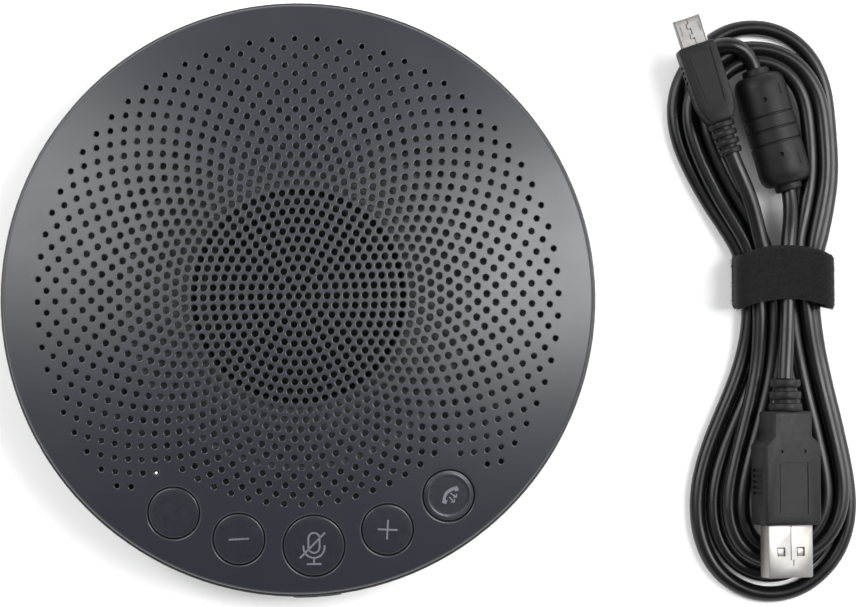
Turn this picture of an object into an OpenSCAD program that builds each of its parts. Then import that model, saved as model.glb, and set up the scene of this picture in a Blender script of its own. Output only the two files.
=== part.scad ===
// Conference speakerphone: a round desk unit with a perforated dome, five keys along the front edge
// and a full-range speaker, and its USB lead, wound into a hank beside it.
// Frame: +Z up, origin on the table under the middle of the round body, -Y is the keys' side.

/* [Body] */
// Diameter of the lower housing, the widest piece
body_d = 140; // [136:1:170]
// Height from the table to the top of the dome
body_h = 33; // [32:0.5:42]
// Height of the dome above the top of the cover's upright edge
dome_rise = 11; // [9:0.25:13]
// Height of the cover's upright edge
cover_edge_h = 2; // [1.5:0.25:3]
// Thickness of the top cover
cover_t = 1.2; // [0.8:0.1:1.5]
// Width of the dark rim left around the cover
rim_w = 0.7; // [0.4:0.1:0.9]
// Rounding of the cover's outer edge
cover_edge_r = 1; // [0.5:0.1:1.2]
// Wall and floor thickness of the lower housing
wall = 2; // [1.5:0.1:2.4]
// Width of the housing's rounded lower edge
edge_w = 11; // [8:0.5:12]
// Height at which the rounded lower edge ends and the wall stands straight
edge_z = 10; // [9:0.5:10.5]

/* [Perforation] */
// Distance between rings of holes, along the dome
ring_pitch = 2.2; // [2:0.05:2.6]
// Rings that are drilled through in this model, out of the whole field's 28
drilled_rings = 6; // [3:1:8]
// Radius of the holes in the middle of the field
hole_r = 0.73; // [0.5:0.01:0.8]

/* [Keys] */
// Distance from the key circle to the edge of the body
key_inset = 12.1; // [11.5:0.1:14]
// Radius of the mute key, the large one in the middle
mute_r = 7; // [6:0.1:7.3]
// Radius of the four small keys
key_r = 5.85; // [4.8:0.05:6.5]
// Angle from the mute key to the volume keys
inner_turn = 17.4; // [17:0.1:19]
// Angle from the mute key to the outer keys
outer_turn = 33.6; // [32:0.1:36]
// Gap around each key
key_gap = 0.3; // [0.2:0.05:0.4]
// Travel of the keys
key_travel = 0.5; // [0.3:0.05:0.6]

/* [Power key] */
// Length of the power key along the edge
power_w = 11.5; // [8:0.5:14]
// Height of the power key
power_h = 4; // [3:0.1:4.4]
// Distance that the power key stands out of the wall
power_out = 0.5; // [0.3:0.1:0.8]
// Travel of the power key
power_travel = 0.3; // [0.2:0.05:0.4]

/* [Light ring] */
// Middle radius of the white light guide
light_r = 39.5; // [38:0.1:40.5]
// Width of the light guide
light_w = 2.1; // [1.6:0.1:2.6]
// Number of light sources under the guide
led_count = 12; // [6:1:24]

/* [Speaker] */
// Radius of the opening over the speaker
speaker_r = 25.5; // [25:0.1:26]
// Radius of the magnet and the top plate
magnet_r = 10.4; // [9:0.1:10.8]
// Height of the magnet
magnet_h = 3; // [2.5:0.1:4]

/* [Base] */
// Inner radius of the rubber foot ring
foot_r0 = 46; // [44:0.5:47]
// Outer radius of the rubber foot ring
foot_r1 = 57; // [55:0.5:58]
// Distance that the foot ring stands out of the floor
foot_h = 1.2; // [0.8:0.1:1.6]

/* [Inside] */
// Thickness of the circuit boards
board_t = 1.4; // [1:0.1:1.7]
// Height of the main board above the floor
board_lift = 2.6; // [2:0.1:3]
// Size of the battery, X by Y by Z
battery_size = [46, 26, 6.5]; // [4:0.5:48]

/* [Cable] */
// Diameter of the cable
cable_d = 3.8; // [3.4:0.1:4]
// Distance from the edge of the body to the middle of the hook-and-loop strap
cable_gap = 47.1; // [46:0.1:60]
// Width of the strap along the hank
strap_w = 15.5; // [12:0.5:18]
// Length of the USB-A shell outside the plug body
usb_a_out = 12.6; // [11:0.1:14]

/* [Hidden] */
$fn = 96;
eps = 0.01;

// Heights and radii that follow from the sizes above
body_r = body_d / 2;
cover_r = body_r - rim_w;
cover_h = dome_rise + cover_edge_h;
seam_z = body_h - cover_h;
dome_r = (cover_r * cover_r + dome_rise * dome_rise) / (2 * dome_rise);
dome_z = body_h - dome_r;
floor_z = foot_h + wall;
foot_seat = 0.8;
foot_top = foot_h + foot_seat;
deck_top = seam_z - 0.4;
deck_t = 1.6;
deck_bottom = deck_top - deck_t;
deck_r = body_r - wall - 1.4;
cone_bottom = body_h - 8.4;
cone_top_in = body_h - 4.8;
cone_top_out = body_h - 7.2;
cone_r = light_r + light_w / 2 + 2.65;
cone_wall = 1.6;
light_z = cone_bottom + 1;
light_h = 1.4;

// Keys
key_circle = body_r - key_inset;
key_turns = [-outer_turn, -inner_turn, 0, inner_turn, outer_turn];
key_radii = [key_r, key_r, mute_r, key_r, key_r];
key_sink = 0.15;
flange_w = 1;
flange_gap = 0.15;
flange_z = deck_top + key_travel + 0.4;
stem_r = 1.6;
stem_hole_r = 2.4;
stem_z = deck_bottom - 0.2;
key_board_r = [key_circle - 7.4, key_circle + 6.6];
key_board_arc = 53;
switch_size = 4;
switch_h = 1.2;
key_board_top = stem_z - key_travel - 0.1 - switch_h;
plunger_r = 0.9;
plunger_gap = 0.2;
plunger_floor = key_travel + 0.1;
post_angles = [-139, -98.7, -81.3, -41];
post_circle = key_circle - 4.9;
post_r = 2.2;

// Status light, in a hole of the ring that passes over the inner part of the key board
status_ring = floor((key_circle - 5) / ring_pitch);
status_r = dome_r * sin(status_ring * ring_pitch / dome_r * 180 / PI);
status_angle = -132.5;
status_hole_r = 0.62;
status_pipe_r = 1.4;

// Microphones
mic_circle = body_r - 9.5;
mic_angles = [45, 135, 225, 315];
mic_r = 2;
mic_h = 1.6;

// Base screws, under the middle of the foot ring
screw_circle_r = (foot_r0 + foot_r1) / 2;
screw_angles = [30, 150, 210, 330];
boss_r = 3.8;
boss_split = 12;
shank_r = 1.3;
head_r = 2.4;
head_h = 1.6;

// Small board screws
small_shank_r = 0.9;
small_head_r = 1.8;
small_head_h = 1.2;

// Main board
board_z = floor_z + board_lift;
board_top = board_z + board_t;
board_r = body_r - 20;
board_edge_y = -12;
usb_y = body_r - 3;
usb_size = [7.5, 6, 2.6];
usb_mouth = [6.9, 1.9];
port_size = [9.4, 3.8];
port_z = board_top + usb_size[2] / 2;
main_posts = [[-38, 0], [38, 0], [0, 43]];
speaker_connector = [0, 21];
ribbon_x = 33.5;
ribbon_w = 6;
ribbon_t = 0.3;
ribbon_y = -sqrt(pow(key_board_r[0] + 2.1, 2) - ribbon_x * ribbon_x);
connector_h = 3;

// Power key
power_z = key_board_top - board_t - 0.9;
power_flange = 1.5;
power_switch_y = -(body_r - 9);

// Speaker, hung under the frame
gasket_t = 0.8;
flange_top = cone_bottom - gasket_t;
flange_t = 1.2;
speaker_out_r = speaker_r + 4.3;
speaker_screw_r = speaker_out_r - 1.9;
coil_gap = 2;
yoke_wall = 2;
yoke_r = magnet_r + coil_gap + yoke_wall;
battery_connector = [yoke_r + 3, -9];
yoke_top = flange_top - 7.6;
plate_t = 2;
yoke_floor = 1.8;
magnet_z = yoke_top - plate_t - magnet_h;
coil_r = magnet_r + 0.6;
coil_t = 0.6;
cone_in_z = flange_top - 2.8;
surround_r0 = speaker_r - 4.7;

// Cable, laid out about the middle of the strap
cable_x = body_r + cable_gap;
cable_y = -1.7;
cable_turn = -3.3;
cord_r = cable_d / 2;
cord_sides = 8;
hank_h = 7.4;
hank_band = 6.9;
strap_t = 1.2;
strap_in = [22, 10.2];
// Middle of the outermost turn above the strap, from left to right
upper_turn = [[-9.4, 6], [-16, 20], [-23.8, 31.5], [-25.8, 41], [-23.4, 49.6], [-17.8, 57], [-11.6, 61],
    [-5.4, 61.6], [0.8, 59.8], [5.8, 55.2], [9.3, 48.8], [11, 40.6], [12.1, 30], [11.6, 20], [8.8, 6]];
// Middle of the outermost turn below the strap, from right to left
lower_turn = [[7.8, -6], [9.4, -16], [11.6, -27], [15, -42], [16.3, -53], [15, -61.4], [11.6, -67.4],
    [6.8, -72.2], [1, -75.4], [-4, -75.8], [-10.6, -72.2], [-16.8, -65.2], [-20, -55.4], [-18.7, -44.4],
    [-14.8, -33.4], [-10.4, -21], [-8, -6]];
micro_end = [-12.5, 31, 11.6];
micro_turn = 18.4;
micro_size = [9.2, 19.6, 6.6];
micro_relief_l = 8;
micro_shell_size = [6.85, 6.9, 1.8];
ferrite_end = [1.8, 21.4, 6.4];
ferrite_turn = 15.5;
ferrite_r = 6.3;
ferrite_l = 30.6;
usb_a_end = [0.6, -23.8, 11.8];
usb_a_roll = 18;
usb_a_relief_l = 7.6;
usb_a_neck_l = 6;
usb_a_body_size = [15, 21.2, 8];
usb_a_shell_size = [12, 4.5];
// Middle lines of the loose stretches, from the plugs and the ferrite to the hank
micro_route = [micro_end, [-10.6, 25.4, 11.5], [-8.8, 20, 11], [-7.4, 15, 10.2], [-6.2, 11, 9.6],
    [-5.6, 7.75, 9.4]];
ferrite_route = [[-12.6, 57.6, 6.2], [-9.6, 57, 6.2], [-7.4, 54.8, 6.3], [-6.4, 51, 6.4]];
ferrite_strap_route = [ferrite_end, [2, 17, 7.2], [1.4, 12, 8.6], [0.8, 7.75, 9.4]];
usb_a_route = [[0.6, -7.75, 9.4], [0.6, -12, 9.9], [0.6, -18, 11], usb_a_end];

// ---- Helpers ----

function dome_at(r) = dome_z + sqrt(dome_r * dome_r - r * r);
function arc(cx, cy, rx, ry, a0, a1, n) =
    [for (i = [0 : n]) let (a = a0 + (a1 - a0) * i / n) [cx + rx * cos(a), cy + ry * sin(a)]];
function polar(r, a) = [r * cos(a), r * sin(a)];
function key_at(i) = polar(key_circle, -90 + key_turns[i]);
function unit(v) = v / norm(v);
function flip(list) = [for (i = [len(list) - 1 : -1 : 0]) list[i]];
// Catmull-Rom curve through the points, with n steps between neighbours
function bend(p, i, t) = let (a = p[max(i - 1, 0)], b = p[i], c = p[i + 1], d = p[min(i + 2, len(p) - 1)])
    0.5 * (2 * b + (c - a) * t + (2 * a - 5 * b + 4 * c - d) * t * t + (3 * b - a - 3 * c + d) * t * t * t);
function smooth(p, n) = concat([for (i = [0 : len(p) - 2]) for (j = [0 : n - 1]) bend(p, i, j / n)],
    [p[len(p) - 1]]);
function along(p, i) = unit(p[min(i + 1, len(p) - 1)] - p[max(i - 1, 0)]);
// The curve moved sideways, to the right of its direction
function inset(p, by) = [for (i = [0 : len(p) - 1]) let (t = along(p, i)) p[i] + by * [t[1], -t[0]]];
function ring_holes(k) = k == 0 ? 1 : 6 * k;

module dome_ball(inner = 0) {
    translate([0, 0, dome_z]) sphere(r = dome_r - inner, $fn = 360);
}

module tube(points, radius, sides) {
    last = len(points) - 1;
    rings = [for (i = [0 : last]) let (t = along(points, i), upright = abs(t[2]) > 0.999,
            side = unit(cross(t, upright ? [0, -1, 0] : [0, 0, 1])), up = cross(side, t))
        for (j = [0 : sides - 1]) let (a = 360 * j / sides) points[i] + radius * (cos(a) * side + sin(a) * up)];
    walls = [for (i = [0 : last - 1]) for (j = [0 : sides - 1]) let (k = (j + 1) % sides)
        [i * sides + j, i * sides + k, (i + 1) * sides + k, (i + 1) * sides + j]];
    first_cap = [[for (j = [sides - 1 : -1 : 0]) j]];
    last_cap = [[for (j = [0 : sides - 1]) last * sides + j]];
    polyhedron(points = rings, faces = concat(walls, first_cap, last_cap), convexity = 4);
}

module pipe(r0, r1, h) {
    difference() {
        cylinder(r = r1, h = h);
        translate([0, 0, -1]) cylinder(r = r0, h = h + 2);
    }
}

module block(size) {
    translate([-size[0] / 2, -size[1] / 2, 0]) cube(size);
}

// A plate outline with rounded corners, made of squares and circles
module rounded(size, r) {
    square([size[0] - 2 * r, size[1]], center = true);
    square([size[0], size[1] - 2 * r], center = true);
    for (x = [-1, 1]) for (y = [-1, 1])
        translate([x * (size[0] / 2 - r), y * (size[1] / 2 - r)]) circle(r = r);
}

module at_keys() {
    for (i = [0 : len(key_turns) - 1]) translate(key_at(i)) children();
}

module at_polar(r, angles) {
    for (a = angles) translate(polar(r, a)) children();
}

// ---- Casing ----

module grille_cover() {
    edge_z1 = dome_at(cover_r) - cover_edge_r;
    color("#3b3e49") difference() {
        rotate_extrude() intersection() {
            difference() {
                intersection() {
                    translate([0, dome_z]) circle(r = dome_r, $fn = 360);
                    polygon(concat([[0, seam_z], [cover_r, seam_z]],
                        arc(cover_r - cover_edge_r, edge_z1, cover_edge_r, cover_edge_r, 0, 60, 4),
                        [[cover_r - 2 * cover_edge_r, body_h], [0, body_h + 1]]));
                }
                intersection() {
                    translate([0, dome_z]) circle(r = dome_r - cover_t, $fn = 360);
                    translate([-1, seam_z - 1]) square([cover_r - cover_t + 1, body_h]);
                }
            }
            translate([0, seam_z]) square([body_r, cover_h + 1]);
        }
        translate([0, 0, seam_z]) linear_extrude(height = cover_h + 1)
            for (k = [0 : drilled_rings]) for (i = [0 : ring_holes(k) - 1])
                rotate(360 / ring_holes(k) * i - 2.5) translate([dome_r * sin(k * ring_pitch / dome_r * 180 / PI), 0])
                    circle(r = hole_r, $fn = 24);
        for (i = [0 : len(key_turns) - 1])
            translate(concat(key_at(i), seam_z)) cylinder(r = key_radii[i] + key_gap, h = cover_h + 1);
        translate(concat(polar(status_r, status_angle), seam_z)) cylinder(r = status_hole_r, h = cover_h + 1);
    }
}

module lower_housing() {
    foot_edge = body_r - edge_w;
    inner_w = edge_w - wall;
    color("#1b1c20") difference() {
        union() {
            rotate_extrude() polygon(concat([[0, foot_h]],
                arc(foot_edge, edge_z, edge_w, edge_z - foot_h, -90, 0, 12),
                arc(body_r - 0.4, seam_z - 0.4, 0.4, 0.4, 0, 90, 3),
                [[body_r - wall, seam_z]],
                arc(foot_edge, edge_z, inner_w, edge_z - floor_z, 0, -90, 12),
                [[0, floor_z]]));
            at_polar(screw_circle_r, screw_angles)
                translate([0, 0, floor_z - eps]) cylinder(r = boss_r, h = boss_split - floor_z + eps);
            for (p = main_posts)
                translate([p[0], p[1], floor_z - eps]) cylinder(r = 2.4, h = board_lift + eps);
            for (x = [-1, 1]) translate([x * (battery_size[0] / 2 + 0.9), -46, floor_z - eps])
                block([1.2, 8, 5]);
        }
        translate([0, 0, foot_h - 1]) pipe(foot_r0, foot_r1, 1 + foot_seat);
        at_polar(screw_circle_r, screw_angles) {
            translate([0, 0, foot_top - 0.1]) cylinder(r = head_r, h = head_h + 0.1);
            cylinder(r = shank_r + 0.2, h = body_h);
        }
        for (p = main_posts) translate([p[0], p[1], floor_z + 0.4]) cylinder(r = small_shank_r, h = board_lift);
        translate([0, body_r - wall - 4, port_z]) rotate([-90, 0, 0])
            linear_extrude(height = wall + 8) rounded(port_size, 1.4);
        translate([0, -(body_r - wall - 4), power_z]) rotate([90, 0, 0])
            linear_extrude(height = wall + 8) rounded([power_w + 0.5, power_h + 0.5], 1.6);
    }
}

module foot_ring() {
    color("#101012") difference() {
        pipe(foot_r0, foot_r1, foot_top);
        for (r = [foot_r0 + 3, foot_r1 - 3]) translate([0, 0, -1]) pipe(r - 0.4, r + 0.4, 1.4);
    }
}

module base_screws() {
    color("#9a9ca0") at_polar(screw_circle_r, screw_angles) translate([0, 0, foot_top]) difference() {
        union() {
            cylinder(r = head_r, h = head_h);
            cylinder(r = shank_r, h = deck_bottom - foot_top - 1.5);
        }
        translate([0, 0, -0.2]) for (a = [0, 90]) rotate(a) block([2.6, 0.5, 1]);
    }
}

// ---- Frame and light ring ----

module inner_frame() {
    color("#4a4b50") difference() {
        union() {
            rotate_extrude() polygon([[speaker_r, cone_bottom], [speaker_r, cone_top_in], [cone_r, cone_top_out],
                [cone_r + cone_wall, cone_top_out - 0.4], [cone_r + cone_wall, deck_top], [deck_r, deck_top],
                [deck_r, deck_bottom], [cone_r, deck_bottom], [cone_r, cone_bottom]]);
            at_polar(screw_circle_r, screw_angles)
                translate([0, 0, boss_split]) cylinder(r = boss_r, h = deck_bottom - boss_split + eps);
            at_polar(post_circle, post_angles)
                translate([0, 0, key_board_top]) cylinder(r = post_r, h = deck_bottom - key_board_top + eps);
        }
        translate([0, 0, light_z]) pipe(light_r - light_w / 2, light_r + light_w / 2, 5);
        at_polar(light_r, [for (i = [0 : led_count - 1]) 360 / led_count * i])
            translate([0, 0, cone_bottom - 1]) cylinder(r = 1.5, h = 2.5);
        at_keys() translate([0, 0, deck_bottom - 1]) cylinder(r = stem_hole_r, h = deck_t + 2);
        at_polar(mic_circle, mic_angles) translate([0, 0, deck_bottom - 1]) cylinder(r = mic_r, h = deck_t + 2);
        translate(concat(polar(status_r, status_angle), deck_bottom - 1)) cylinder(r = status_pipe_r, h = deck_t + 2);
        at_polar(screw_circle_r, screw_angles)
            translate([0, 0, boss_split - 1]) cylinder(r = shank_r, h = deck_bottom - boss_split);
        at_polar(post_circle, post_angles) translate([0, 0, key_board_top - 1]) cylinder(r = small_shank_r, h = 2.4);
        at_polar(speaker_screw_r, [45, 135, 225, 315])
            translate([0, 0, cone_bottom - 1]) cylinder(r = small_shank_r, h = 3);
    }
}

module light_guide_ring() {
    color("#f4f4f0") translate([0, 0, light_z]) pipe(light_r - light_w / 2, light_r + light_w / 2, light_h);
}

module led_ring_board() {
    color("#e8e8e2") translate([0, 0, cone_bottom - 1]) pipe(light_r - 3.5, light_r + 3.5, 1);
}

module leds() {
    color("#fff6d8") {
        at_polar(light_r, [for (i = [0 : led_count - 1]) 360 / led_count * i])
            translate([0, 0, cone_bottom]) block([1.6, 1.6, 0.7]);
        translate(concat(polar(status_r, status_angle), key_board_top)) block([1.6, 1.6, 0.7]);
    }
}

module status_light_pipe() {
    color("#ffffff") translate(polar(status_r, status_angle)) {
        translate([0, 0, key_board_top + 0.9])
            cylinder(r = status_pipe_r, h = dome_at(status_r) - cover_t - 1 - key_board_top - 0.9);
        translate([0, 0, deck_top]) cylinder(r = 0.45, h = dome_at(status_r) - 0.3 - deck_top);
    }
}

// ---- Speaker ----

module speaker_gasket() {
    color("#202022") translate([0, 0, flange_top]) difference() {
        pipe(speaker_r, speaker_out_r, gasket_t);
        at_polar(speaker_screw_r, [45, 135, 225, 315]) translate([0, 0, -1]) cylinder(r = small_shank_r, h = 3);
    }
}

module speaker_basket() {
    rest_z = yoke_top - 2.7;
    neck_z = yoke_top - 1.2;
    color("#2a2b2e") difference() {
        rotate_extrude() polygon([[speaker_r - 1.3, flange_top], [speaker_out_r, flange_top],
            [speaker_out_r, flange_top - flange_t], [speaker_r - 0.1, flange_top - flange_t],
            [yoke_r + 1.2, neck_z], [yoke_r + 1.2, rest_z], [yoke_r, rest_z], [yoke_r, neck_z]]);
        at_polar(speaker_screw_r, [45, 135, 225, 315])
            translate([0, 0, flange_top - 3]) cylinder(r = small_shank_r, h = 5);
        for (a = [0 : 60 : 300]) rotate([0, 0, a + 30]) translate([yoke_r, 0, (flange_top + yoke_top) / 2 - 0.6])
            rotate([0, 90, 0]) cylinder(r = 2.4, h = 14);
    }
}

module speaker_surround() {
    roll_r = (speaker_r - 1.2 - surround_r0) / 2;
    mid = surround_r0 + roll_r;
    color("#161618") rotate_extrude() difference() {
        union() {
            translate([mid, flange_top + 0.6]) circle(r = roll_r);
            translate([surround_r0, flange_top]) square([speaker_r - surround_r0, 0.6]);
        }
        translate([mid, flange_top + 0.6]) circle(r = roll_r - 0.5);
        translate([surround_r0 - 1, flange_top - 4]) square([8, 4]);
    }
}

module speaker_cone() {
    color("#26272a") rotate_extrude() polygon([[coil_r + coil_t, cone_in_z], [surround_r0, flange_top],
        [surround_r0, flange_top + 0.5], [coil_r + coil_t, cone_in_z + 0.5]]);
}

module dust_cap() {
    cap_r = coil_r + coil_t;
    rise = 3;
    ball_r = (cap_r * cap_r + rise * rise) / (2 * rise);
    color("#1d1e20") translate([0, 0, cone_in_z + 0.5]) intersection() {
        translate([0, 0, rise - ball_r]) difference() {
            sphere(r = ball_r);
            sphere(r = ball_r - 0.4);
        }
        cylinder(r = cap_r + 1, h = rise + 1);
    }
}

module voice_coil() {
    color("#b5763a") translate([0, 0, yoke_top - plate_t - 0.6])
        pipe(coil_r, coil_r + coil_t, cone_in_z + 0.5 - (yoke_top - plate_t - 0.6));
}

module top_plate() {
    color("#8e9094") translate([0, 0, yoke_top - plate_t]) cylinder(r = magnet_r, h = plate_t);
}

module speaker_magnet() {
    color("#3c3d40") translate([0, 0, magnet_z]) cylinder(r = magnet_r, h = magnet_h);
}

module magnet_yoke() {
    color("#a4a6aa") translate([0, 0, magnet_z - yoke_floor]) difference() {
        cylinder(r = yoke_r, h = yoke_top - magnet_z + yoke_floor);
        translate([0, 0, yoke_floor]) cylinder(r = yoke_r - yoke_wall, h = body_h);
    }
}

module speaker_screws() {
    color("#b0b2b6") at_polar(speaker_screw_r, [45, 135, 225, 315]) {
        translate([0, 0, flange_top - flange_t - small_head_h]) cylinder(r = small_head_r, h = small_head_h);
        translate([0, 0, flange_top - flange_t - eps]) cylinder(r = small_shank_r, h = flange_t + gasket_t + 1.8);
    }
}

// ---- Electronics ----

module main_board() {
    color("#1f6b45") translate([0, 0, board_z]) linear_extrude(height = board_t) difference() {
        union() {
            intersection() {
                circle(r = board_r);
                translate([-board_r, board_edge_y]) square([2 * board_r, 2 * board_r]);
            }
            translate([-8, board_r - 8]) square([16, usb_y - usb_size[1] / 2 - board_r + 8]);
        }
        at_polar(screw_circle_r, screw_angles) circle(r = boss_r + 1);
        for (p = main_posts) translate(p) circle(r = small_shank_r);
    }
}

module processor_chip() {
    color("#17181a") translate([-20, 24, board_top]) block([12, 12, 1]);
}

module radio_shield() {
    color("#c9cbcf") translate([21, 27, board_top]) difference() {
        block([15, 13, 1.9]);
        translate([0, 0, -1]) block([14.4, 12.4, 2.6]);
    }
}

module board_capacitors() {
    color("#2c3550") for (p = [[-33, 14], [-40, 8], [-9, 38]])
        translate([p[0], p[1], board_top]) cylinder(r = 3, h = 5.4);
}

module usb_receptacle() {
    color("#d4d6da") translate([0, usb_y - usb_size[1] / 2, board_top]) difference() {
        block(usb_size);
        translate([0, 1, (usb_size[2] - usb_mouth[1]) / 2]) block([usb_mouth[0], usb_size[1], usb_mouth[1]]);
    }
}

module board_connectors() {
    color("#e9e4d4") {
        translate(concat(battery_connector, board_top)) block([5, 4, connector_h]);
        translate(concat(speaker_connector, board_top)) block([6, 3.4, connector_h]);
        translate([ribbon_x, -6, board_top]) block([ribbon_w + 1, 3.6, 1.4]);
        translate([ribbon_x, ribbon_y, key_board_top - board_t - 1.4]) block([ribbon_w + 1, 3, 1.4]);
    }
}

module board_screws() {
    color("#b0b2b6") {
        for (p = main_posts) translate([p[0], p[1], board_top]) {
            cylinder(r = small_head_r, h = small_head_h);
            translate([0, 0, -board_t - 1.8]) cylinder(r = small_shank_r, h = board_t + 1.8 + eps);
        }
        at_polar(post_circle, post_angles) translate([0, 0, key_board_top - board_t]) {
            translate([0, 0, -small_head_h]) cylinder(r = small_head_r, h = small_head_h);
            cylinder(r = small_shank_r, h = board_t + 1.2);
        }
    }
}

module battery_pack() {
    color("#8d9098") translate([0, -46, floor_z + battery_size[2] / 2]) rotate([-90, 0, 0])
        linear_extrude(height = battery_size[1]) rounded([battery_size[0], battery_size[2]], 2.4);
}

module battery_leads() {
    color("#b02a22") for (dx = [-0.9, 0.9]) {
        start = [battery_connector[0] + dx, battery_size[1] - 46, floor_z + 4];
        finish = concat([battery_connector[0] + dx, battery_connector[1] - 2], board_top + 1.6);
        tube([start, start + [0, 2, 0], finish - [0, 2.5, 0], finish], 0.6, 8);
    }
}

module speaker_leads() {
    start_r = yoke_r + 6.6;
    color("#c8c8c8") for (dx = [-1.2, 1.2]) tube([[dx, start_r, yoke_top + 1.6], [dx, start_r + 2.4, yoke_top],
        [dx, speaker_connector[1], board_top + connector_h + 2.4],
        [dx, speaker_connector[1], board_top + connector_h]], 0.6, 8);
}

module key_board() {
    corners = concat([[0, 0]], [for (a = [-key_board_arc, -key_board_arc / 2, 0, key_board_arc / 2, key_board_arc])
        polar(2 * body_r, -90 + a)]);
    color("#1f6b45") translate([0, 0, key_board_top - board_t]) linear_extrude(height = board_t) difference() {
        intersection() {
            circle(r = key_board_r[1]);
            polygon(corners);
        }
        circle(r = key_board_r[0]);
        at_polar(post_circle, post_angles) circle(r = small_shank_r);
    }
}

module key_switches() {
    color("#cfd1d4") for (i = [0 : len(key_turns) - 1]) translate(concat(key_at(i), key_board_top))
        difference() {
            block([switch_size, switch_size, switch_h]);
            translate([0, 0, -1]) cylinder(r = plunger_r + plunger_gap, h = switch_h + 2);
        }
}

module power_switch() {
    color("#cfd1d4") translate([0, power_switch_y, power_z]) difference() {
        translate([0, 0, -0.9]) block([5, 3.6, 1.8]);
        rotate([90, 0, 0]) cylinder(r = 0.7, h = 3);
    }
}

module key_ribbon() {
    z0 = key_board_top - board_t - 0.7;
    z1 = board_top + 0.7;
    line = [[ribbon_y + 1.5, z0], [ribbon_y + 6.6, z0 - 0.4], [-16, z1 + 1.6], [-10, z1], [-7.8, z1]];
    color("#d58f3c") translate([ribbon_x - ribbon_w / 2, 0, 0]) rotate([90, 0, 90])
        linear_extrude(height = ribbon_w)
            polygon(concat(line, flip([for (p = line) p + [0, ribbon_t]])));
}

module mic_boots() {
    color("#141416") at_polar(mic_circle, mic_angles) translate([0, 0, deck_top]) pipe(0.7, 2.8, 2.4);
}

module mic_capsules() {
    color("#c4a35a") at_polar(mic_circle, mic_angles) translate([0, 0, deck_bottom]) cylinder(r = mic_r, h = mic_h);
}

// ---- Keys ----

module key_cap(i) {
    radius = key_radii[i];
    place = concat(key_at(i), flange_z);
    color("#343741") {
        intersection() {
            translate(place) cylinder(r = radius, h = cover_h);
            dome_ball(key_sink);
        }
        intersection() {
            translate(place) cylinder(r = radius + flange_w, h = cover_h);
            dome_ball(cover_t + flange_gap);
        }
        translate(concat(key_at(i), stem_z)) cylinder(r = stem_r, h = flange_z - stem_z + eps);
    }
}

module key_plunger(i) {
    color("#55575c") translate(concat(key_at(i), key_board_top + plunger_floor))
        cylinder(r = plunger_r, h = stem_z - key_board_top - plunger_floor);
}

module power_button() {
    flange_y = body_r - wall - 1.4;
    color("#141519") {
        intersection() {
            translate([0, -flange_y, power_z]) rotate([90, 0, 0])
                linear_extrude(height = wall + 4) rounded([power_w, power_h], 1.4);
            cylinder(r = body_r + power_out, h = body_h);
        }
        translate([0, -flange_y, power_z]) rotate([90, 0, 0])
            linear_extrude(height = 0.8) rounded([power_w + 2 * power_flange, power_h + 1.4], 1.4);
    }
}

module power_plunger() {
    top_y = body_r - wall - 1.4;
    color("#55575c") translate([0, -top_y, power_z]) rotate([-90, 0, 0])
        cylinder(r = 0.55, h = top_y + power_switch_y - power_travel - 0.1);
}

// ---- Cable ----

module cable_place() {
    translate([cable_x, cable_y, 0]) rotate([0, 0, cable_turn]) children();
}

module micro_place() {
    cable_place() translate(micro_end) rotate([0, 0, micro_turn]) children();
}

module usb_a_place() {
    cable_place() translate(usb_a_end) rotate([0, usb_a_roll, 0]) children();
}

// A plug's length runs along +Y: the outline is drawn in X and Z
module along_y(y, length) {
    translate([0, y + length, 0]) rotate([90, 0, 0]) linear_extrude(height = length) children();
}

module micro_usb_shell() {
    size = micro_shell_size;
    base = micro_relief_l + micro_size[1];
    color("#d8dade") micro_place() difference() {
        along_y(base, size[1]) polygon([[-size[0] / 2 + 0.8, -size[2] / 2], [size[0] / 2 - 0.8, -size[2] / 2],
            [size[0] / 2, 0], [size[0] / 2, size[2] / 2], [-size[0] / 2, size[2] / 2], [-size[0] / 2, 0]]);
        along_y(base + 1.5, size[1]) square([size[0] - 1.6, size[2] - 0.7], center = true);
    }
}

module micro_usb_body() {
    size = micro_size;
    taper = 5;
    color("#1c1c1f") micro_place() intersection() {
        along_y(micro_relief_l, size[1]) rounded([size[0], size[2]], 1.2);
        translate([0, micro_relief_l, -size[2]]) linear_extrude(height = 2 * size[2]) polygon([
            [-2.9, 0], [2.9, 0], [size[0] / 2, taper], [size[0] / 2, size[1] + 1], [-size[0] / 2, size[1] + 1],
            [-size[0] / 2, taper]]);
    }
}

module relief(length, r0, r1, ribs) {
    step = length / ribs;
    rotate([-90, 0, 0]) {
        cylinder(r1 = r0 - 0.5, r2 = r1 - 0.5, h = length);
        for (i = [0 : ribs - 1]) translate([0, 0, i * step + 0.3])
            cylinder(r = r0 + (r1 - r0) * i / ribs, h = step * 0.6);
    }
}

module micro_usb_relief() {
    color("#1c1c1f") micro_place() relief(micro_relief_l, 2.7, 3.2, 4);
}

module cable_micro_lead() {
    color("#17171a") cable_place() tube(smooth(micro_route, 2), cord_r, cord_sides);
}

module hank_band(turn) {
    outer = inset(smooth(turn, 3), -cord_r);
    inner = inset(smooth(turn, 3), hank_band);
    polygon(concat(outer, flip(inner)));
}

module cable_hank() {
    color("#17171a") cable_place() {
        linear_extrude(height = hank_h) difference() {
            union() {
                hank_band(upper_turn);
                hank_band(lower_turn);
            }
            square([60, strap_w], center = true);
        }
        translate([0, strap_w / 2, strap_t]) rotate([90, 0, 0]) linear_extrude(height = strap_w)
            translate([0, strap_in[1] / 2]) rounded(strap_in, 3);
    }
}

module cable_ferrite_lead() {
    color("#17171a") cable_place() tube(smooth(ferrite_route, 3), cord_r, cord_sides);
}

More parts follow.
